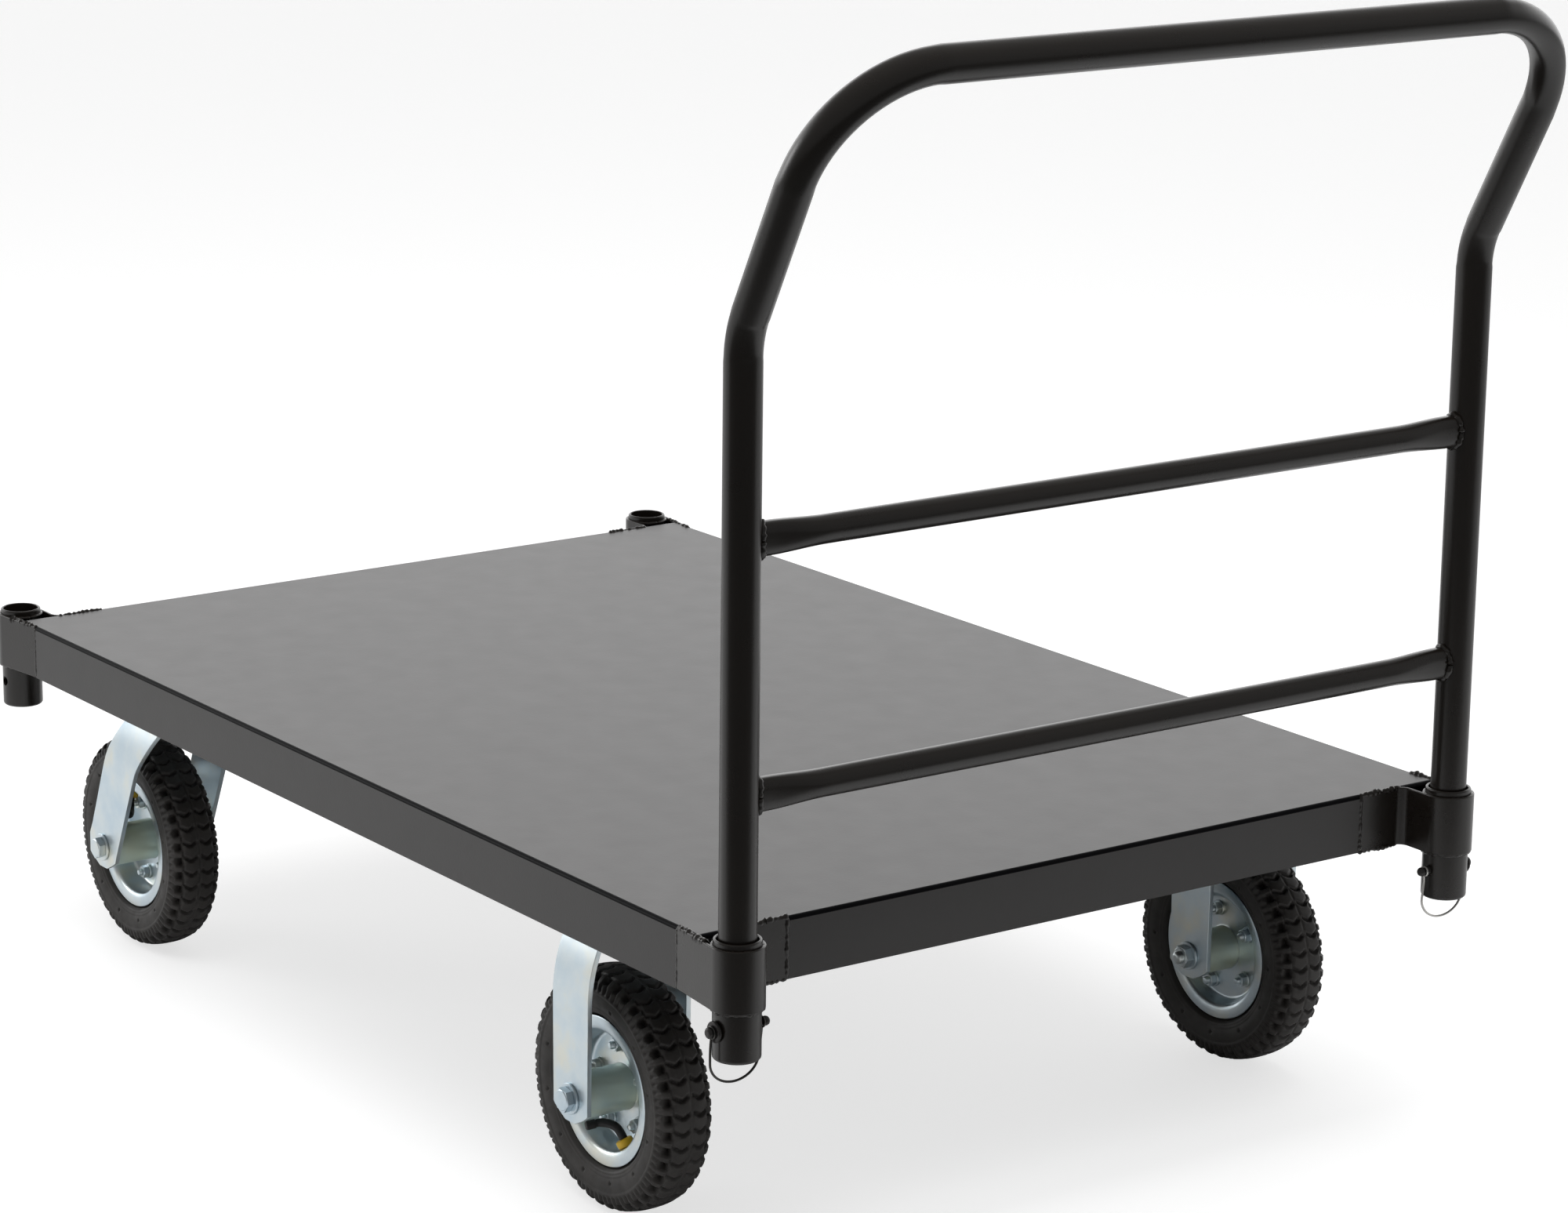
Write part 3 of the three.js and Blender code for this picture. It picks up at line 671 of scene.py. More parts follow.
def make_sockets():
    for index, (name, end, side) in enumerate(CORNERS):
        outline = to_corner(band_outline(), end, side)
        band = prism(f"band_{name}", outline, -SKIRT_MM, 0, bevel=0.9, segments=3)
        dress(set_down(band), "frame_paint", "frame", f"socket_band_{name}")
        tube = moved(socket_tube(f"socket_{name}"), end * SOCKET_X, side * SOCKET_Y)
        dress(set_down(tube), "frame_paint", "frame", f"socket_tube_{name}")
        dress(set_down(corner_welds(name, end, side, 10 * index + 3)), "frame_paint", "frame")


def make_underframe():
    """The two cross channels and the stiffener under the deck, with rolled corners."""
    thick = 3.0
    for name in ("caster_channel_rear", "caster_channel_front", "deck_stiffener"):
        low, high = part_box(name)
        spans = {"x": (high.x - low.x) / MM, "y": (high.y - low.y) / MM}
        axis = max(spans, key=spans.get)
        half, run, tall = min(spans.values()) / 2, spans[axis] / 2, (high.z - low.z) / MM
        outline = [
            (-half, 0), (half, 0), (half, tall), (half - thick, tall), (half - thick, thick),
            (-half + thick, thick), (-half + thick, tall), (-half, tall),
        ]
        middle = (low + high) / 2
        piece = prism(f"{name}_rolled", outline, -run, run, axis=axis, bevel=1.2)
        dress(set_down(piece, middle.x, middle.y, low.z), "frame_paint", "frame", name)


# ---- handle (millimetres from the middle between the rear sockets, at deck top) ----
TUBE_R, TUBE_WALL, CROSS_HOLE_R = 15.0, 1.8, 4.6
KINK, TOP, LEAN_X = 466.7, 669.6, 105.5
KINK_BEND, CORNER_BEND, LEG_END = 80.0, 97.0, 84.0
LEAN = atan2(LEAN_X, TOP - KINK)
RAIL_R, UPPER_RAIL, LOWER_RAIL = 11.2, 311.8, 114.4
RAIL_FLAT_X, RAIL_FLAT_Z, RAIL_TAPER = 8.0, 13.3, 62.0


def handle_side(side):
    points = [(0, side * SOCKET_Y, -LEG_END)]
    reach = KINK_BEND * tan(LEAN / 2)
    for a in np.linspace(0, LEAN, 11):
        points.append((
            KINK_BEND * (1 - cos(a)),
            side * SOCKET_Y,
            KINK - reach + KINK_BEND * sin(a),
        ))
    up = Vector((sin(LEAN), 0, cos(LEAN)))
    middle = Vector((LEAN_X, 0, TOP))
    for a in np.linspace(0, pi / 2, 21):
        point = middle - up * CORNER_BEND * (1 - sin(a))
        point.y = side * (SOCKET_Y - CORNER_BEND * (1 - cos(a)))
        points.append(tuple(point))
    return points


def rail(name):
    """A round cross rail whose ends are pressed tall and narrow where they meet the legs."""
    reach = SOCKET_Y - TUBE_R + 4
    stations = sorted({-reach, reach, *np.linspace(-reach, -reach + 70, 18),
                       *np.linspace(reach - 70, reach, 18)})
    vertices, sides = [], 40
    for y in stations:
        from_leg = SOCKET_Y - TUBE_R - abs(y)
        t = min(max((RAIL_TAPER - from_leg) / (RAIL_TAPER - 8), 0), 1)
        t = t * t * (3 - 2 * t)
        half_x = RAIL_R + (RAIL_FLAT_X - RAIL_R) * t
        half_z = RAIL_R + (RAIL_FLAT_Z - RAIL_R) * t
        power = 1 - 0.3 * t
        for j in range(sides):
            a = 2 * pi * j / sides
            c, s = cos(a), sin(a)
            vertices.append((
                half_x * copysign(abs(c) ** power, c),
                y,
                half_z * copysign(abs(s) ** power, s),
            ))
    faces = grid_faces(len(stations), sides)
    last = (len(stations) - 1) * sides
    faces += [tuple(range(sides - 1, -1, -1)), tuple(range(last, last + sides))]
    return make_object(name, vertices, faces, 50)


def rail_welds(name, seed):
    beads = []
    for side in (-1, 1):
        points = []
        for a in np.linspace(0, 2 * pi, 37):
            x, z = (RAIL_FLAT_X + 0.5) * cos(a), (RAIL_FLAT_Z + 0.5) * sin(a)
            points.append((x, side * (SOCKET_Y - sqrt(TUBE_R ** 2 - x * x) - 1.0), z))
        beads.append(weld_bead("bead", points, 2.7, seed + side, 0.16))
    return joined(name, beads)


def make_handle():
    points = handle_side(-1) + handle_side(1)[::-1]
    tube = sweep("handle_bar", points, TUBE_R, sides=56, flatten=0.085)
    bore = sweep("bore", [(0, 0, -LEG_END - 5), (0, 0, PIN_DROP + 30)], TUBE_R - TUBE_WALL, sides=32)
    slot_plan = [(-CROSS_HOLE_R, -LEG_END - 2), (CROSS_HOLE_R, -LEG_END - 2)]
    slot_plan += arc(0, PIN_DROP, CROSS_HOLE_R, 0, 180, 12)
    for side in (-1, 1):
        boolean_cut(tube, moved(copy_of(bore, "bore_cut"), y=side * SOCKET_Y))
        slot = prism("slot", slot_plan, side * SOCKET_Y - 20, side * SOCKET_Y + 20, axis="y")
        boolean_cut(tube, slot)
    bpy.data.objects.remove(bore)
    dress(set_down(tube, LEG_X), "frame_paint", "handle", "handle_tube")
    for name, height, seed in (("upper_rail", UPPER_RAIL, 71), ("lower_rail", LOWER_RAIL, 81)):
        bar = moved(rail(f"{name}_bar"), z=height)
        dress(set_down(bar, LEG_X), "frame_paint", "handle", name)
        welds = moved(rail_welds(f"{name}_welds", seed), z=height)
        dress(set_down(welds, LEG_X), "frame_paint", "handle")


# ---- lock pins and bails (millimetres from the pin's middle, left side, head outwards) ----
# the bow's middle, its half width, its lowest point and where it begins
BAIL_BOWS = {"left": (-2.0, 22.6, 43.0, 25.0), "right": (1.6, 22.8, 43.0, 25.0)}
BAIL_WIRE = 1.0
TIP_EYE_Y = 22.8


def pin_piece(name):
    """Lock pin: ball tip, neck, shank, collar and a small domed knob."""
    profile = [
        (0, 30.0), (1.9, 29.6), (3.3, 28.4), (3.9, 26.8), (3.7, 25.2), (2.9, 24.2), (2.7, 22.0),
        (3.7, 21.2), (4.0, 20.6), (4.0, -19.6), (7.8, -19.6), (8.4, -20.0), (8.5, -20.6),
        (8.5, -21.6), (8.2, -22.1), (7.6, -22.4), (3.4, -22.5), (3.3, -24.6), (4.1, -24.9),
        (4.5, -25.4), (4.4, -26.5), (3.6, -27.4), (2.0, -27.9), (0, -28.0),
    ]
    return lathe(name, profile, 40)


def ring_about_y(radius, y, wire, segments=36):
    profile = [(radius + wire * cos(a), y + wire * sin(a))
               for a in np.linspace(0, 2 * pi, 13)[:-1]]
    return lathe("ring", profile, segments, 80)


def bail_piece(name, bow):
    """Spring wire: an eye round the pin's neck at each end and a deep, lopsided bow below."""
    middle, half, drop, straight = bow
    head_side, tip_side = middle - half, middle + half
    points = [(0, -23.6, -4.6), (0, -24.2, -9), (0, head_side, -17), (0, head_side, -straight)]
    for a in np.linspace(pi, 2 * pi, 25)[1:-1]:
        height = -straight + (drop - straight) * sin(a)
        points.append((0, middle + half * cos(a), height))
    half_way = (tip_side + TIP_EYE_Y) / 2
    points += [(0, tip_side, -straight), (0, half_way, -17), (0, TIP_EYE_Y, -9), (0, 23.3, -4.0)]
    wire = sweep("wire", smooth_path(points, 2), BAIL_WIRE, sides=12)
    eyes = [ring_about_y(4.5, -23.6, BAIL_WIRE), ring_about_y(3.9, 23.1, BAIL_WIRE)]
    return joined(name, [wire, *eyes])


def make_pins():
    for word, side in SIDES:
        pin = on_side(pin_piece(f"pin_{word}_turned"), side)
        place = (LEG_X, side * LEG_Y, PIN_Z)
        dress(set_down(pin, *place), "pin_black", f"pin_{word}", f"lock_pin_{word}")
        bail = on_side(bail_piece(f"bail_{word}_wire", BAIL_BOWS[word]), side)
        # the left bail takes the darker copy of the wire metal: painted shade
        wire = "spring_wire_painted_shade" if side < 0 else "spring_wire"
        dress(set_down(bail, *place), wire, f"bail_arm_{word}", f"bail_{word}")


# ---- casters (millimetres from the wheel's axle, left side, outer face to -Y) ----
AXLE_DROP = (DECK_TOP - AXLE_Z) / MM
FORK_HALF, FORK_THICK, LOW_ARC, TOP_ARC = 50.0, 4.5, 128.0, 16.0
ARC_START = AXLE_DROP - 108.0
TRAIL = (centre("kingpin_left").x - centre("tyre_front_left").x) / MM
PLATE_TOP, PLATE_THICK = AXLE_DROP - 32.3, 5.0
FOOT_SHOULDER, FOOT_DROP, FOOT_POINT = 9.0, 20.5, 6.0
RIGID_ARM_HALF, RIGID_ARM_FLARE = 24.6, 0.9
PLATE_HALF_X, PLATE_HALF_Y, BOLT_X, BOLT_Y = 57, 51, 44, 38
CROWN_TOP = AXLE_DROP - 45.3


def fork_stations(crown_top, foot):
    """(y, z, normal y, normal z) down the outer face of one arm, from the crown's middle."""
    lean = asin((crown_top - TOP_ARC - ARC_START) / (LOW_ARC - TOP_ARC))
    top_y = FORK_HALF - LOW_ARC + (LOW_ARC - TOP_ARC) * cos(lean)
    top_z = ARC_START + (LOW_ARC - TOP_ARC) * sin(lean)
    stations = [(0, crown_top, 0, 1)]
    for a in np.linspace(pi / 2, lean, 9):
        c, s = cos(a), sin(a)
        stations.append((top_y + TOP_ARC * c, top_z + TOP_ARC * s, c, s))
    for a in np.linspace(lean, 0, 10)[1:]:
        c, s = cos(a), sin(a)
        stations.append((FORK_HALF - LOW_ARC + LOW_ARC * c, ARC_START + LOW_ARC * s, c, s))
    levels = [ARC_START * t for t in (0.75, 0.5, 0.25, 0.1)]
    levels += [-foot * sin(a) for a in np.linspace(0, 1.36, 16)]
    return stations + [(FORK_HALF, z, 1, 0) for z in levels]


def bent_fork(name, crown_top, foot, edges):
    """A flat bar bent into a fork. edges(z) gives the arm's two edges in x at height z."""
    half = fork_stations(crown_top, foot)
    path = [(-y, z, -ny, nz) for y, z, ny, nz in half[:0:-1]] + half
    columns = 9
    outer, inner = [], []
    for y, z, ny, nz in path:
        x0, x1 = edges(z)
        for k in range(columns):
            x = x0 + (x1 - x0) * k / (columns - 1)
            outer.append((x, y, z))
            inner.append((x, y - ny * FORK_THICK, z - nz * FORK_THICK))
    rows, count = len(path), len(path) * columns
    faces = grid_faces(rows, columns, wrap_columns=False)
    faces += [tuple(count + i for i in face[::-1]) for face in faces]
    rim = [i * columns for i in range(rows)]
    rim += [(rows - 1) * columns + k for k in range(1, columns)]
    rim += [i * columns + columns - 1 for i in range(rows - 2, -1, -1)]
    rim += [k for k in range(columns - 2, 0, -1)]
    for a, b in zip(rim, rim[1:] + rim[:1]):
        faces.append((a, b, count + b, count + a))
    return bevelled(make_object(name, outer + inner, faces), 0.7, 2, 50)


def foot_reach(z, half):
    """Half width of an arm's blunt foot, z below the axle: square shoulders, then a wide point."""
    if z > -FOOT_SHOULDER:
        return half
    slope = (-z - FOOT_SHOULDER) / (FOOT_DROP - FOOT_SHOULDER)
    return half - (half - FOOT_POINT) * min(slope, 1) ** 1.25


def rigid_edges(z):
    """The upright arm: a blunt foot below the axle, a little wider at the crown."""
    reach = RIGID_ARM_HALF + RIGID_ARM_FLARE * min(z / ARC_START, 1)
    if z < 0:
        reach = foot_reach(z, RIGID_ARM_HALF)
    return -reach, reach


def swivel_edges(z):
    """The raked arm: a round end about the axle, two knees, and a straight crown."""
    end, rake = 26.0, radians(24)
    back_tip = (-end * cos(rake), end * sin(rake))
    front_tip = (end * cos(rake), -end * sin(rake))
    crown = 33.5
    # each edge runs straight between its knees, and the average over 18 mm rounds them
    levels = np.linspace(z - 9, z + 9, 13)
    weights = np.cos(np.linspace(-1.4, 1.4, 13))
    back = np.interp(levels, [back_tip[1], AXLE_DROP - 89, AXLE_DROP - 48],
                     [back_tip[0], 13, TRAIL - crown])
    front = np.interp(levels, [front_tip[1], AXLE_DROP - 101, AXLE_DROP - 46],
                      [front_tip[0], 68, TRAIL + crown])
    x0, x1 = np.average(back, weights=weights), np.average(front, weights=weights)
    reach = foot_reach(z, end)
    return (-reach if z < back_tip[1] else x0), (reach if z < front_tip[1] else x1)


def rounded_rectangle(half_x, half_y, radius, steps=6):
    points = []
    for sx, sy, start in ((1, 1, 0), (-1, 1, 90), (-1, -1, 180), (1, -1, 270)):
        cx, cy = sx * (half_x - radius), sy * (half_y - radius)
        points += arc(cx, cy, radius, start, start + 90, steps)
    return points


def caster_plate(name):
    """Mounting plate with its four cap bolts seen from below."""
    foot = PLATE_TOP - PLATE_THICK
    outline = rounded_rectangle(PLATE_HALF_X, PLATE_HALF_Y, 7)
    parts = [prism("plate", outline, foot, PLATE_TOP, bevel=0.8)]
    for x in (-BOLT_X, BOLT_X):
        for y in (-BOLT_Y, BOLT_Y):
            parts.append(moved(turned_by(hex_head("cap", 7.5, 5.0), -90, "X"), x, y, foot))
    return joined(name, parts)


WASHER_THICK = 2.0


def hex_head(name, radius, height, washer=0.0):
    """A hexagon bolt head or nut that stands out along -Y from y = 0, with a washer below it."""
    base = -WASHER_THICK if washer else 0.0
    top, flat = base - height, radius * 0.84
    body = prism("hex", hexagon(radius), top, base, axis="y", bevel=0.35)
    cap = lathe("chamfer", [
        (0, top - 0.5), (radius * 0.78, top - 0.5), (flat, top), (flat, top + 1), (0, top + 1),
    ], 36)
    parts = [body, cap]
    if washer:
        parts.append(lathe("washer", [
            (0, base), (washer - 0.5, base), (washer, base + 0.5), (washer, -0.2),
            (washer - 0.3, 0), (0, 0),
        ], 48))
    return joined(name, parts)


THREAD_PITCH = 1.4


def bolt_end(name, radius, length, base=0.0):
    """The end of a bolt beyond its nut, with a few thread ridges and a domed tip."""
    profile = [(0, base)]
    ridges = int(length / THREAD_PITCH)
    for k in range(ridges):
        y = base - k * THREAD_PITCH
        profile += [(radius - 0.35, y), (radius, y - 0.5), (radius - 0.35, y - 1.0)]
    tip = base - ridges * THREAD_PITCH
    profile += [(radius - 0.5, tip), (radius * 0.7, tip - 1.0)]
    profile += [(radius * 0.35, tip - 1.5), (0, tip - 1.6)]
    return lathe(name, profile, 32)


def axle_head(name):
    return hex_head(name, 10.4, 6.2, washer=13.0)


def axle_tail(name):
    """Washer, nut and bolt end on the far side of the fork, standing out along +Y."""
    nut = hex_head("nut", 10.4, 7.6, washer=12.5)
    end = bolt_end("end", 5.8, 4.2, base=-9.4)
    return flipped_y(joined(name, [nut, end]))


def make_axle_fixings(end, word, side, sign):
    """Bolt head outside the fork and nut inside it, each turned its own way."""
    name = f"{end}_{word}"
    place = (centre(f"tyre_{name}").x, side * WHEEL_Y, AXLE_Z)
    body = "frame" if end == "rear" else f"swivel_{word}"
    turn = 17 * sign + 9 * side
    head = turned_by(axle_head(f"bolt_head_{name}"), turn, "Y")
    tail = turned_by(axle_tail(f"bolt_tail_{name}"), turn * 2 + 11, "Y")
    head = on_side(moved(head, y=-FORK_HALF - 0.1), side)
    tail = on_side(moved(tail, y=FORK_HALF + 0.1), side)
    dress(set_down(head, *place), "zinc_plate", body, f"axle_bolt_{name}")
    dress(set_down(tail, *place), "zinc_plate", body, f"axle_nut_{name}")


def make_rigid_caster(word, place):
    fork = bent_fork("arms", PLATE_TOP - PLATE_THICK, FOOT_DROP, rigid_edges)
    rigid = joined(f"rigid_caster_{word}", [fork, caster_plate("plate")])
    dress(set_down(rigid, *place), "zinc_plate", "frame", f"rigid_fork_{word}")


def make_swivel_caster(word, place, pivot):
    yoke = bent_fork(f"swivel_caster_{word}", CROWN_TOP, FOOT_DROP, swivel_edges)
    dress(set_down(yoke, *place), "zinc_plate", f"swivel_{word}", f"swivel_fork_{word}")
    race_low, race_top = CROWN_TOP + 0.8, PLATE_TOP - PLATE_THICK + 0.3
    race = upright(lathe("race", [
        (0, race_low), (34.0, race_low), (37.0, race_low + 0.8), (38.0, race_low + 2.2),
        (37.6, race_top - 1.6), (36.0, race_top), (0, race_top),
    ], 72))
    mount = joined(f"swivel_mount_{word}", [caster_plate("plate"), race])
    dress(set_down(mount, *pivot), "zinc_plate", "frame", f"swivel_plate_{word}")
    nut = turned_by(hex_head("nut", 13.0, 8.5), -90, "X")
    low, high, radius = CROWN_TOP - FORK_THICK - 0.4, PLATE_TOP - 1, 7
    post = upright(lathe("post", [(0, low), (radius, low), (radius, high), (0, high)], 36))
    king = joined(f"kingpin_{word}_nut", [moved(nut, z=low), post])
    dress(set_down(king, *pivot), "zinc_plate", "frame", f"kingpin_{word}")


def make_caster_metal():
    for word, side in SIDES:
        for end, sign in ENDS:
            make_axle_fixings(end, word, side, sign)
        rear, front, pivot = (
            (centre(f"{node}_{word}").x, side * WHEEL_Y, AXLE_Z)
            for node in ("tyre_rear", "tyre_front", "kingpin")
        )
        make_rigid_caster(word, rear)
        make_swivel_caster(word, front, pivot)


# ---- wheels (millimetres from the wheel's centre, left side, outer face to -Y) ----
WEB_SHIFT = 4.8  # the rim's web lies this far inboard of the wheel's middle


def rim_profile(web):
    """Section of a half rim, (radius, outward). web is where the back of its web lies."""
    front = web + 2.5
    return [
        (19.4, web), (47.0, web), (48.3, web + 0.5), (49.1, web + 1.8), (50.0, 9.0), (51.2, 15.6),
        (51.9, 17.0), (53.4, 17.7), (61.6, 17.8), (62.3, 18.1), (62.6, 18.8), (62.4, 19.6),
        (61.7, 20.1), (57.5, 19.9), (54.6, 19.5), (52.6, 18.9), (51.0, 17.8), (50.0, 16.2),
        (49.0, 12.0), (47.8, front + 3.6), (47.0, front + 1.6), (45.8, front + 0.4), (44.0, front),
        (21.2, front), (19.4, front + 0.6),
    ]


NUT_CIRCLE, NUT_COUNT = 35.5, 5
LUGS, COLUMNS_PER_LUG = 44, 12
TREAD_R = 101.0


def rim_piece(name, phase, web, with_nuts):
    """Half of the split rim, outer face to -Y, with its ring of nuts or bolt heads."""
    disc = lathe("disc", [(r, -y) for r, y in rim_profile(web)], 120, 40)
    parts = [disc]
    for k in range(NUT_COUNT):
        if with_nuts:
            nut = hex_head("nut", 6.2, 5.4, washer=7.0)
            fixing = joined("nut", [nut, bolt_end("stud", 3.4, 2.8, base=-7.6)])
        else:
            fixing = hex_head("head", 6.2, 4.4)
        turned_by(fixing, 23 * k + 11, "Y")
        moved(fixing, NUT_CIRCLE, -(web + 2.4), 0)
        parts.append(turned_by(fixing, -(phase + 360 / NUT_COUNT * k), "Y"))
    return joined(name, parts)


def hub_piece(name):
    """Hub tube with a bearing pressed in each end."""
    end = 44.6
    half = [
        (6.4, end - 0.6), (7.2, end - 0.2), (9.0, end), (9.4, end - 1.0), (14.5, end - 1.2),
        (15.2, end - 0.2), (18.0, end - 0.2), (18.9, end - 0.8), (19.2, end - 1.6),
    ]
    return lathe(name, [(r, -y) for r, y in half] + half[::-1], 96)


def valve_pieces(name):
    """Bent rubber stem with a cap, and the yellow collar where it leaves the rim."""
    path = smooth_path([
        (17.5, -10.0, -37.0), (15.4, -11.4, -32.6), (12.4, -13.2, -28.6), (6.5, -16.4, -26.6),
        (0.5, -21.0, -26.6), (-1.4, -26.0, -27.2),
    ], 8)
    radii = [3.6] * (len(path) - 9) + list(np.linspace(3.5, 3.0, 9))
    stem = sweep("stem", path, radii, sides=20)
    cap_path = smooth_path([(-1.0, -24.6, -27.0), (-2.2, -28.6, -27.6), (-3.4, -32.6, -28.2)], 6)
    cap_radii = [3.3] + [3.9] * (len(cap_path) - 2) + [3.3]
    cap = sweep("cap", cap_path, cap_radii, sides=12, sharp_degrees=20)
    rubber = joined(name, [stem, cap])
    foot, head = Vector((20.6, -8.4, -43.2)), Vector((17.4, -10.2, -37.2))
    collar_path = [foot.lerp(head, t) for t in (0, 0.1, 0.3, 0.7, 0.9, 1)]
    collar_radii = [5.6, 6.8, 7.2, 7.2, 6.8, 5.4]
    collar = sweep(f"{name}_collar", collar_path, collar_radii, sides=32)
    return rubber, collar


def tyre_profile():
    """(radius, y) along the outside, bead to bead, on one smooth curve."""
    half = [
        (60.0, -15.5), (63.4, -17.2), (64.6, -19.8), (68.0, -22.6), (74.0, -24.9), (80.0, -25.6),
        (86.5, -25.2), (91.5, -24.2), (95.6, -21.9), (98.3, -18.6), (99.6, -14.6),
        (100.5, -9.5), (100.9, -5.0), (TREAD_R, 0),
    ]
    controls = half + [(r, -y) for r, y in half[-2::-1]]
    curve = np.array(smooth_path(controls, 8))
    gaps = np.hypot(*np.diff(curve, axis=0).T)
    along = np.r_[0, np.cumsum(gaps)]
    even = np.linspace(0, along[-1], 128)
    return np.column_stack([np.interp(even, along, curve[:, i]) for i in (0, 1)])


def smooth_step(low, high, value):
    t = np.clip((value - low) / (high - low), 0, 1)
    return t * t * (3 - 2 * t)


def cut_across(turn, middle, half_width, floor=0.4):
    """1 in a groove that crosses the tread once a lug, 0 outside it. floor is its flat share."""
    away = np.abs((turn - middle + 0.5) % 1 - 0.5)
    return 1 - smooth_step(half_width * floor, half_width, away)


def tread_depth(turn, radius, y):
    """How far below the outer profile the rubber lies, in mm. turn counts lugs round the tyre."""
    side = np.abs(y)
    on_blocks = smooth_step(1.2, 2.6, side) * (1 - smooth_step(15.5, 18.0, side))
    bend = 0.5 + 0.13 * np.cos(2 * np.pi * (16.5 - side) / 16.5)
    depth = 3.2 * cut_across(turn, bend, 0.14) * on_blocks
    lines = 1.8 * np.exp(-((side - 16.3) / 0.7) ** 2) + 1.0 * np.exp(-(side / 0.6) ** 2)
    depth = np.maximum(depth, lines) * smooth_step(95.5, 97.5, radius)
    pits = 8.0 * cut_across(turn, 0.35, 0.33, 0.55) * np.exp(-((side - 20.2) / 3.4) ** 2)
    depth = np.maximum(depth, pits * smooth_step(91.5, 95.0, radius))
    big = 0.5 + 0.5 * np.cos(2 * np.pi * (turn - 0.85))
    ribs = cut_across(2 * turn, 0.2, 0.3) * (1.2 + 0.6 * big)
    on_shoulder = smooth_step(85.5, 88.0, radius) * (1 - smooth_step(92.5, 94.5, radius))
    return np.maximum(depth, ribs * on_shoulder)


def sidewall_relief(turn, radius, y):
    """Moulded rings and vent dimples on the sidewall, in mm below the profile."""
    groove = 0.45 * np.exp(-((radius - 68.6) / 0.5) ** 2)
    ridge = 0.5 * np.exp(-((radius - 66.6) / 0.8) ** 2)
    step = 0.65 * smooth_step(69.5, 70.5, radius) * (1 - smooth_step(83.6, 84.4, radius))
    spot = turn * 12 / LUGS + np.where(y < 0, 0.0, 0.4)
    arc_away = (spot % 1 - 0.5) * 2 * np.pi * radius / 12
    dimple = np.exp(-((arc_away / 1.4) ** 2 + ((radius - 75.0) / 1.4) ** 2) ** 2)
    return np.where(radius < 86, groove - ridge + step + 1.7 * dimple, 0)


def tyre_piece(name):
    profile = tyre_profile()
    columns, rows = LUGS * COLUMNS_PER_LUG, len(profile)
    tangent = np.gradient(profile, axis=0)
    tangent /= np.hypot(tangent[:, 0], tangent[:, 1])[:, None]
    normal = np.column_stack([tangent[:, 1], -tangent[:, 0]])
    radius, y = profile[:, 0][:, None], profile[:, 1][:, None]
    turn = (np.arange(columns) / COLUMNS_PER_LUG)[None, :]
    depth = tread_depth(turn, radius, y) + sidewall_relief(turn, radius, y)
    r = radius - normal[:, 0][:, None] * depth
    flat_y = y - normal[:, 1][:, None] * depth
    angle = 2 * np.pi * np.arange(columns)[None, :] / columns
    outer = np.stack([r * np.cos(angle), flat_y + 0 * angle, r * np.sin(angle)], axis=-1)
    liner = [(59.0, 12.0), (60.0, -12.0)]
    rings = [outer]
    for inner_r, inner_y in liner:
        ring = [inner_r * np.cos(angle), inner_y + 0 * angle, inner_r * np.sin(angle)]
        rings.append(np.stack(ring, axis=-1))
    points = np.concatenate(rings, axis=0).reshape(-1, 3)
    faces = grid_faces(rows + len(liner), columns, wrap_rows=True)
    return make_object(name, points, faces, 180)


NUT_PHASES = {"rear_left": 25, "rear_right": 33, "front_left": 42, "front_right": 5}


def make_wheel(end, word, side):
    name, body = f"{end}_{word}", f"wheel_{end}_{word}"
    place = (centre(f"tyre_{name}").x, side * WHEEL_Y, AXLE_Z)
    tyre = on_side(tyre_piece(f"tread_{name}"), side)
    dress(set_down(tyre, *place), "tyre", body, f"tyre_{name}")
    phase = NUT_PHASES[name]
    outer_half = rim_piece(f"rim_face_{name}", phase, 0.2 - WEB_SHIFT, side < 0)
    inner_half = rim_piece(f"rim_back_{name}", phase, 0.2 + WEB_SHIFT, side > 0)
    outer, inner = on_side(outer_half, side), on_side(flipped_y(inner_half), side)
    dress(set_down(outer, *place), "zinc_plate", body, f"rim_outer_{name}")
    dress(set_down(inner, *place), "zinc_plate", body, f"rim_inner_{name}")
    dress(set_down(hub_piece(f"hub_tube_{name}"), *place), "hub_steel", body, f"hub_{name}")
    stem, collar = valve_pieces(f"valve_stem_{name}")
    for piece, material, nodes in ((stem, "rubber", [f"valve_{name}"]), (collar, "valve_collar", [])):
        if end == "front":
            turned_by(piece, 180, "Y")
        dress(set_down(on_side(piece, side), *place), material, body, *nodes)


def make_wheels():
    for end, _ in ENDS:
        for word, side in SIDES:
            make_wheel(end, word, side)


# ---- hidden CAD nodes that stay as they are ----
def paint_kept_nodes():
    for name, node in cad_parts.items():
        if name.startswith("inner_tube"):
            node.data.materials.clear()
            node.data.materials.append(MATERIALS["rubber"])


# ---- floor and light ----
ROOM_WHITE, DARK_ROOM, BACKDROP = 0.9, 0.26, 1.5  # light from the room, seen and unseen
BACKDROP_WAY = (-0.83, 0.56, 0.0)
FLOOR_HALF, FLOOR_Z = 12, -0.0005
FLOOR_GREY, FLOOR_GLOW = 0.45, 0.68  # the floor where it is seen directly


def ranged(tree, source, start, end, to_start, to_end):
    """A smooth ramp of one number into another."""
    ramp = tree.nodes.new("ShaderNodeMapRange")
    ramp.interpolation_type = "SMOOTHSTEP"
    set_inputs(ramp, {"From Min": start, "From Max": end, "To Min": to_start, "To Max": to_end})
    tree.links.new(source, ramp.inputs["Value"])
    return ramp.outputs["Result"]


def calculated(tree, operation, first, second):
    """A sum or product of a socket with a number or with another socket."""
    node = tree.nodes.new("ShaderNodeMath")
    node.operation = operation
    tree.links.new(first, node.inputs[0])
    if isinstance(second, float):
        node.inputs[1].default_value = second
    else:
        tree.links.new(second, node.inputs[1])
    return node.outputs["Value"]


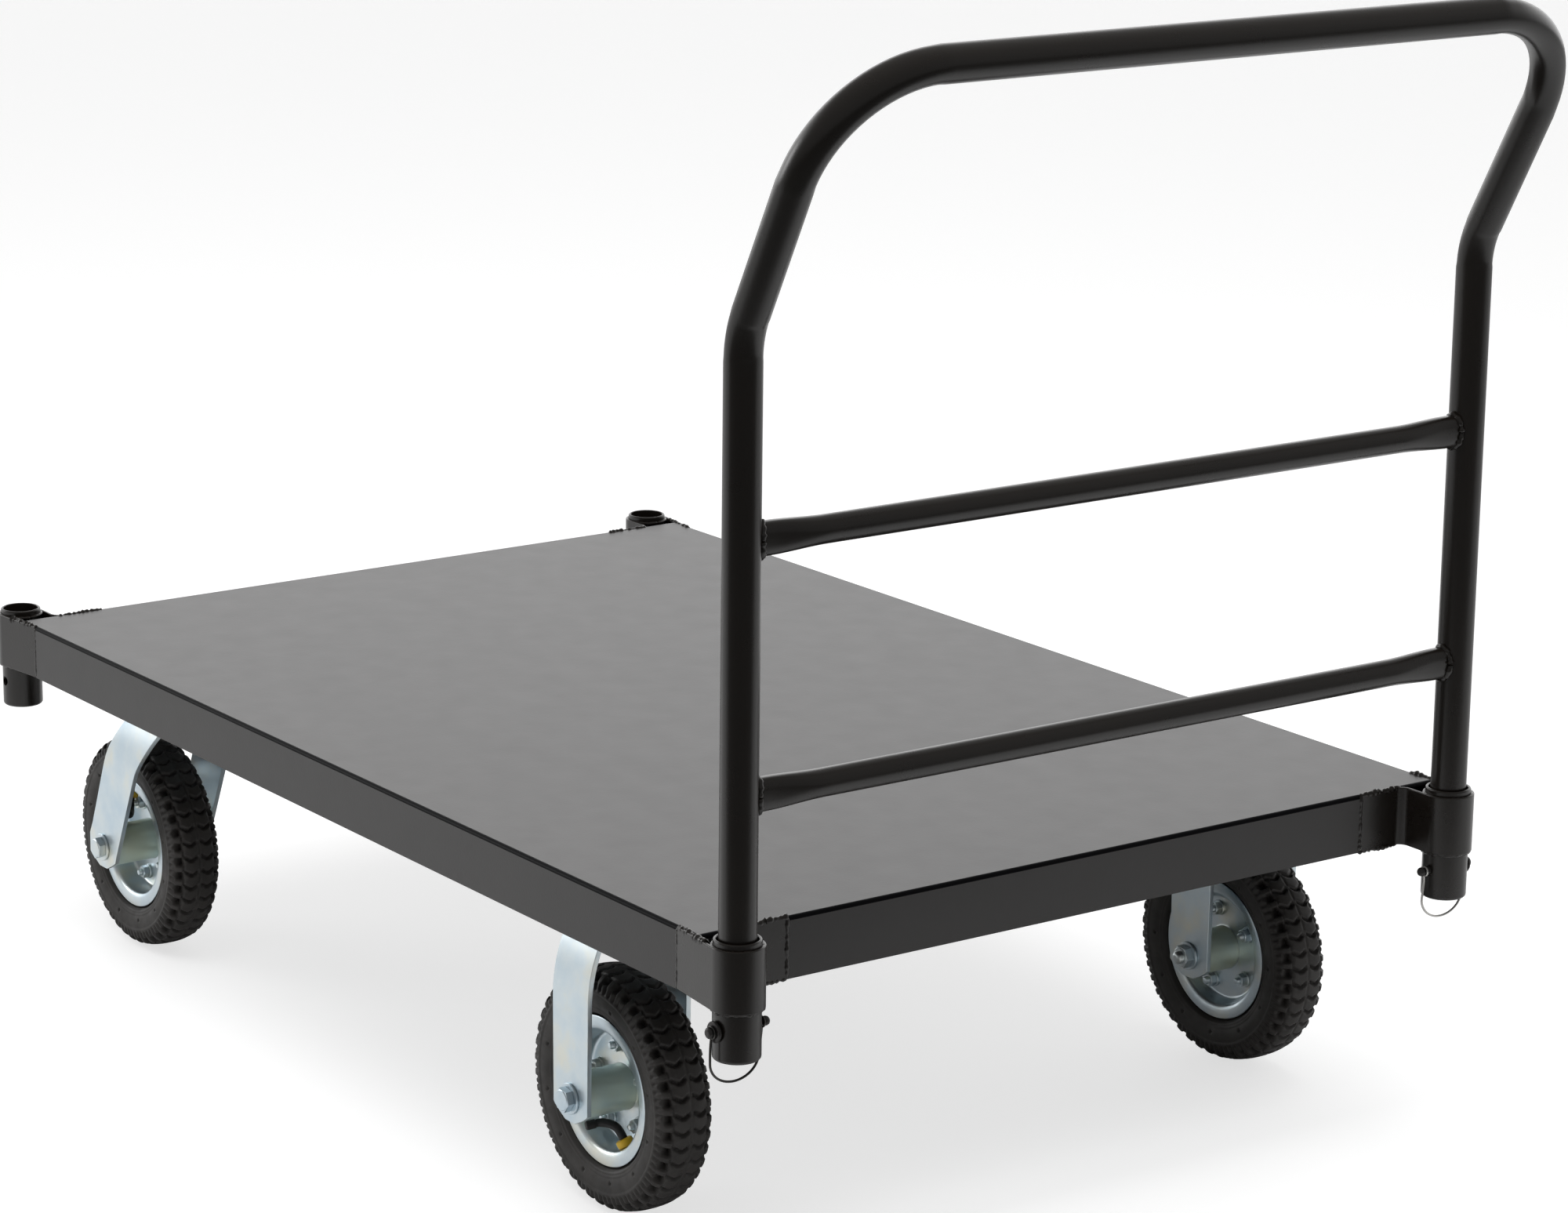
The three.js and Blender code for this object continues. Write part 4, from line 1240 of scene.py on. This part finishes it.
def reach_along(tree, source, way):
    """How far a place, or a direction, goes along a way."""
    node = tree.nodes.new("ShaderNodeVectorMath")
    node.operation = "DOT_PRODUCT"
    node.inputs[1].default_value = way
    tree.links.new(source, node.inputs[0])
    return node.outputs["Value"]


def make_stage():
    """A floor white where seen directly, with a painted pool of light for other rays: pale under and
    behind the cart, dark on its near side, so that side mirrors a dim room.
    """
    corners = [(x * FLOOR_HALF, y * FLOOR_HALF, FLOOR_Z) for x, y in ((-1, -1), (1, -1), (1, 1), (-1, 1))]
    floor = make_object("floor", corners, [(0, 1, 2, 3)])
    material, shader = new_material("floor", (0.8, 0.8, 0.8), 0.7, specular=0.1)
    tree = material.node_tree
    place = tree.nodes.new("ShaderNodeTexCoord").outputs["Object"]
    reach = reach_along(tree, place, [-way for way in BACKDROP_WAY])
    seen = tree.nodes.new("ShaderNodeLightPath").outputs["Is Camera Ray"]
    choice = tree.nodes.new("ShaderNodeMix")
    choice.data_type = "RGBA"
    tree.links.new(seen, choice.inputs["Factor"])
    # painted light: for rays other than camera rays the floor's colour is pale under and behind the cart
    # and dark towards the camera
    tree.links.new(ranged(tree, reach, 0.8, 1.25, 0.88, 0.12), choice.inputs["A"])
    choice.inputs["B"].default_value = (FLOOR_GREY, FLOOR_GREY, FLOOR_GREY, 1)
    tree.links.new(choice.outputs["Result"], shader.inputs["Base Color"])
    shader.inputs["Emission Color"].default_value = (1, 1, 1, 1)
    glow = calculated(tree, "MULTIPLY", seen, FLOOR_GLOW)
    tree.links.new(glow, shader.inputs["Emission Strength"])
    floor.data.materials.append(material)


def add_area(name, place, target, size, power, mirrored=False):
    """A softbox. mirrored tells whether glossy paint shows its reflection."""
    data = bpy.data.lights.new(name, "AREA")
    data.shape = "RECTANGLE"
    data.size, data.size_y = size
    data.energy = power
    light = linked(name, data)
    light.location = place
    light.rotation_euler = (Vector(target) - Vector(place)).to_track_quat("-Z", "Y").to_euler()
    light.visible_glossy = mirrored


def background(tree, strength):
    """A white background. strength is a number or a socket."""
    node = tree.nodes.new("ShaderNodeBackground")
    node.inputs["Color"].default_value = (1, 1, 1, 1)
    if isinstance(strength, float):
        node.inputs["Strength"].default_value = strength
    else:
        tree.links.new(strength, node.inputs["Strength"])
    return node.outputs["Background"]


def make_world():
    """A dim room with a bright low backdrop behind the cart, white where it is seen directly."""
    world = bpy.data.worlds.new("studio")
    world.use_nodes = True
    tree = world.node_tree
    way = tree.nodes.new("ShaderNodeTexCoord").outputs["Generated"]
    parts = tree.nodes.new("ShaderNodeSeparateXYZ")
    tree.links.new(way, parts.inputs["Vector"])
    behind = ranged(tree, reach_along(tree, way, BACKDROP_WAY), -0.15, 0.7, 0.0, BACKDROP)
    low = ranged(tree, parts.outputs["Z"], 0.3, 0.62, 1.0, 0.05)
    light = calculated(tree, "ADD", calculated(tree, "MULTIPLY", behind, low), DARK_ROOM)
    mix = tree.nodes.new("ShaderNodeMixShader")
    seen = tree.nodes.new("ShaderNodeLightPath").outputs["Is Camera Ray"]
    for source, socket in zip((seen, background(tree, light), background(tree, ROOM_WHITE)), mix.inputs):
        tree.links.new(source, socket)
    tree.links.new(mix.outputs["Shader"], tree.nodes["World Output"].inputs["Surface"])
    bpy.context.scene.world = world


def make_light():
    make_world()
    add_area("overhead", (0.3, -0.3, 3.6), (0, 0, 0), (3.6, 3.6), 125)
    add_area("side", (-3.2, -2.6, 1.6), (0, 0, 0.2), (1.6, 1.2), 22, mirrored=True)
    bpy.context.scene.view_settings.view_transform = "Standard"


make_camera()
make_deck()
make_sockets()
make_underframe()
make_handle()
make_pins()
make_caster_metal()
make_wheels()
paint_kept_nodes()
make_stage()
make_light()
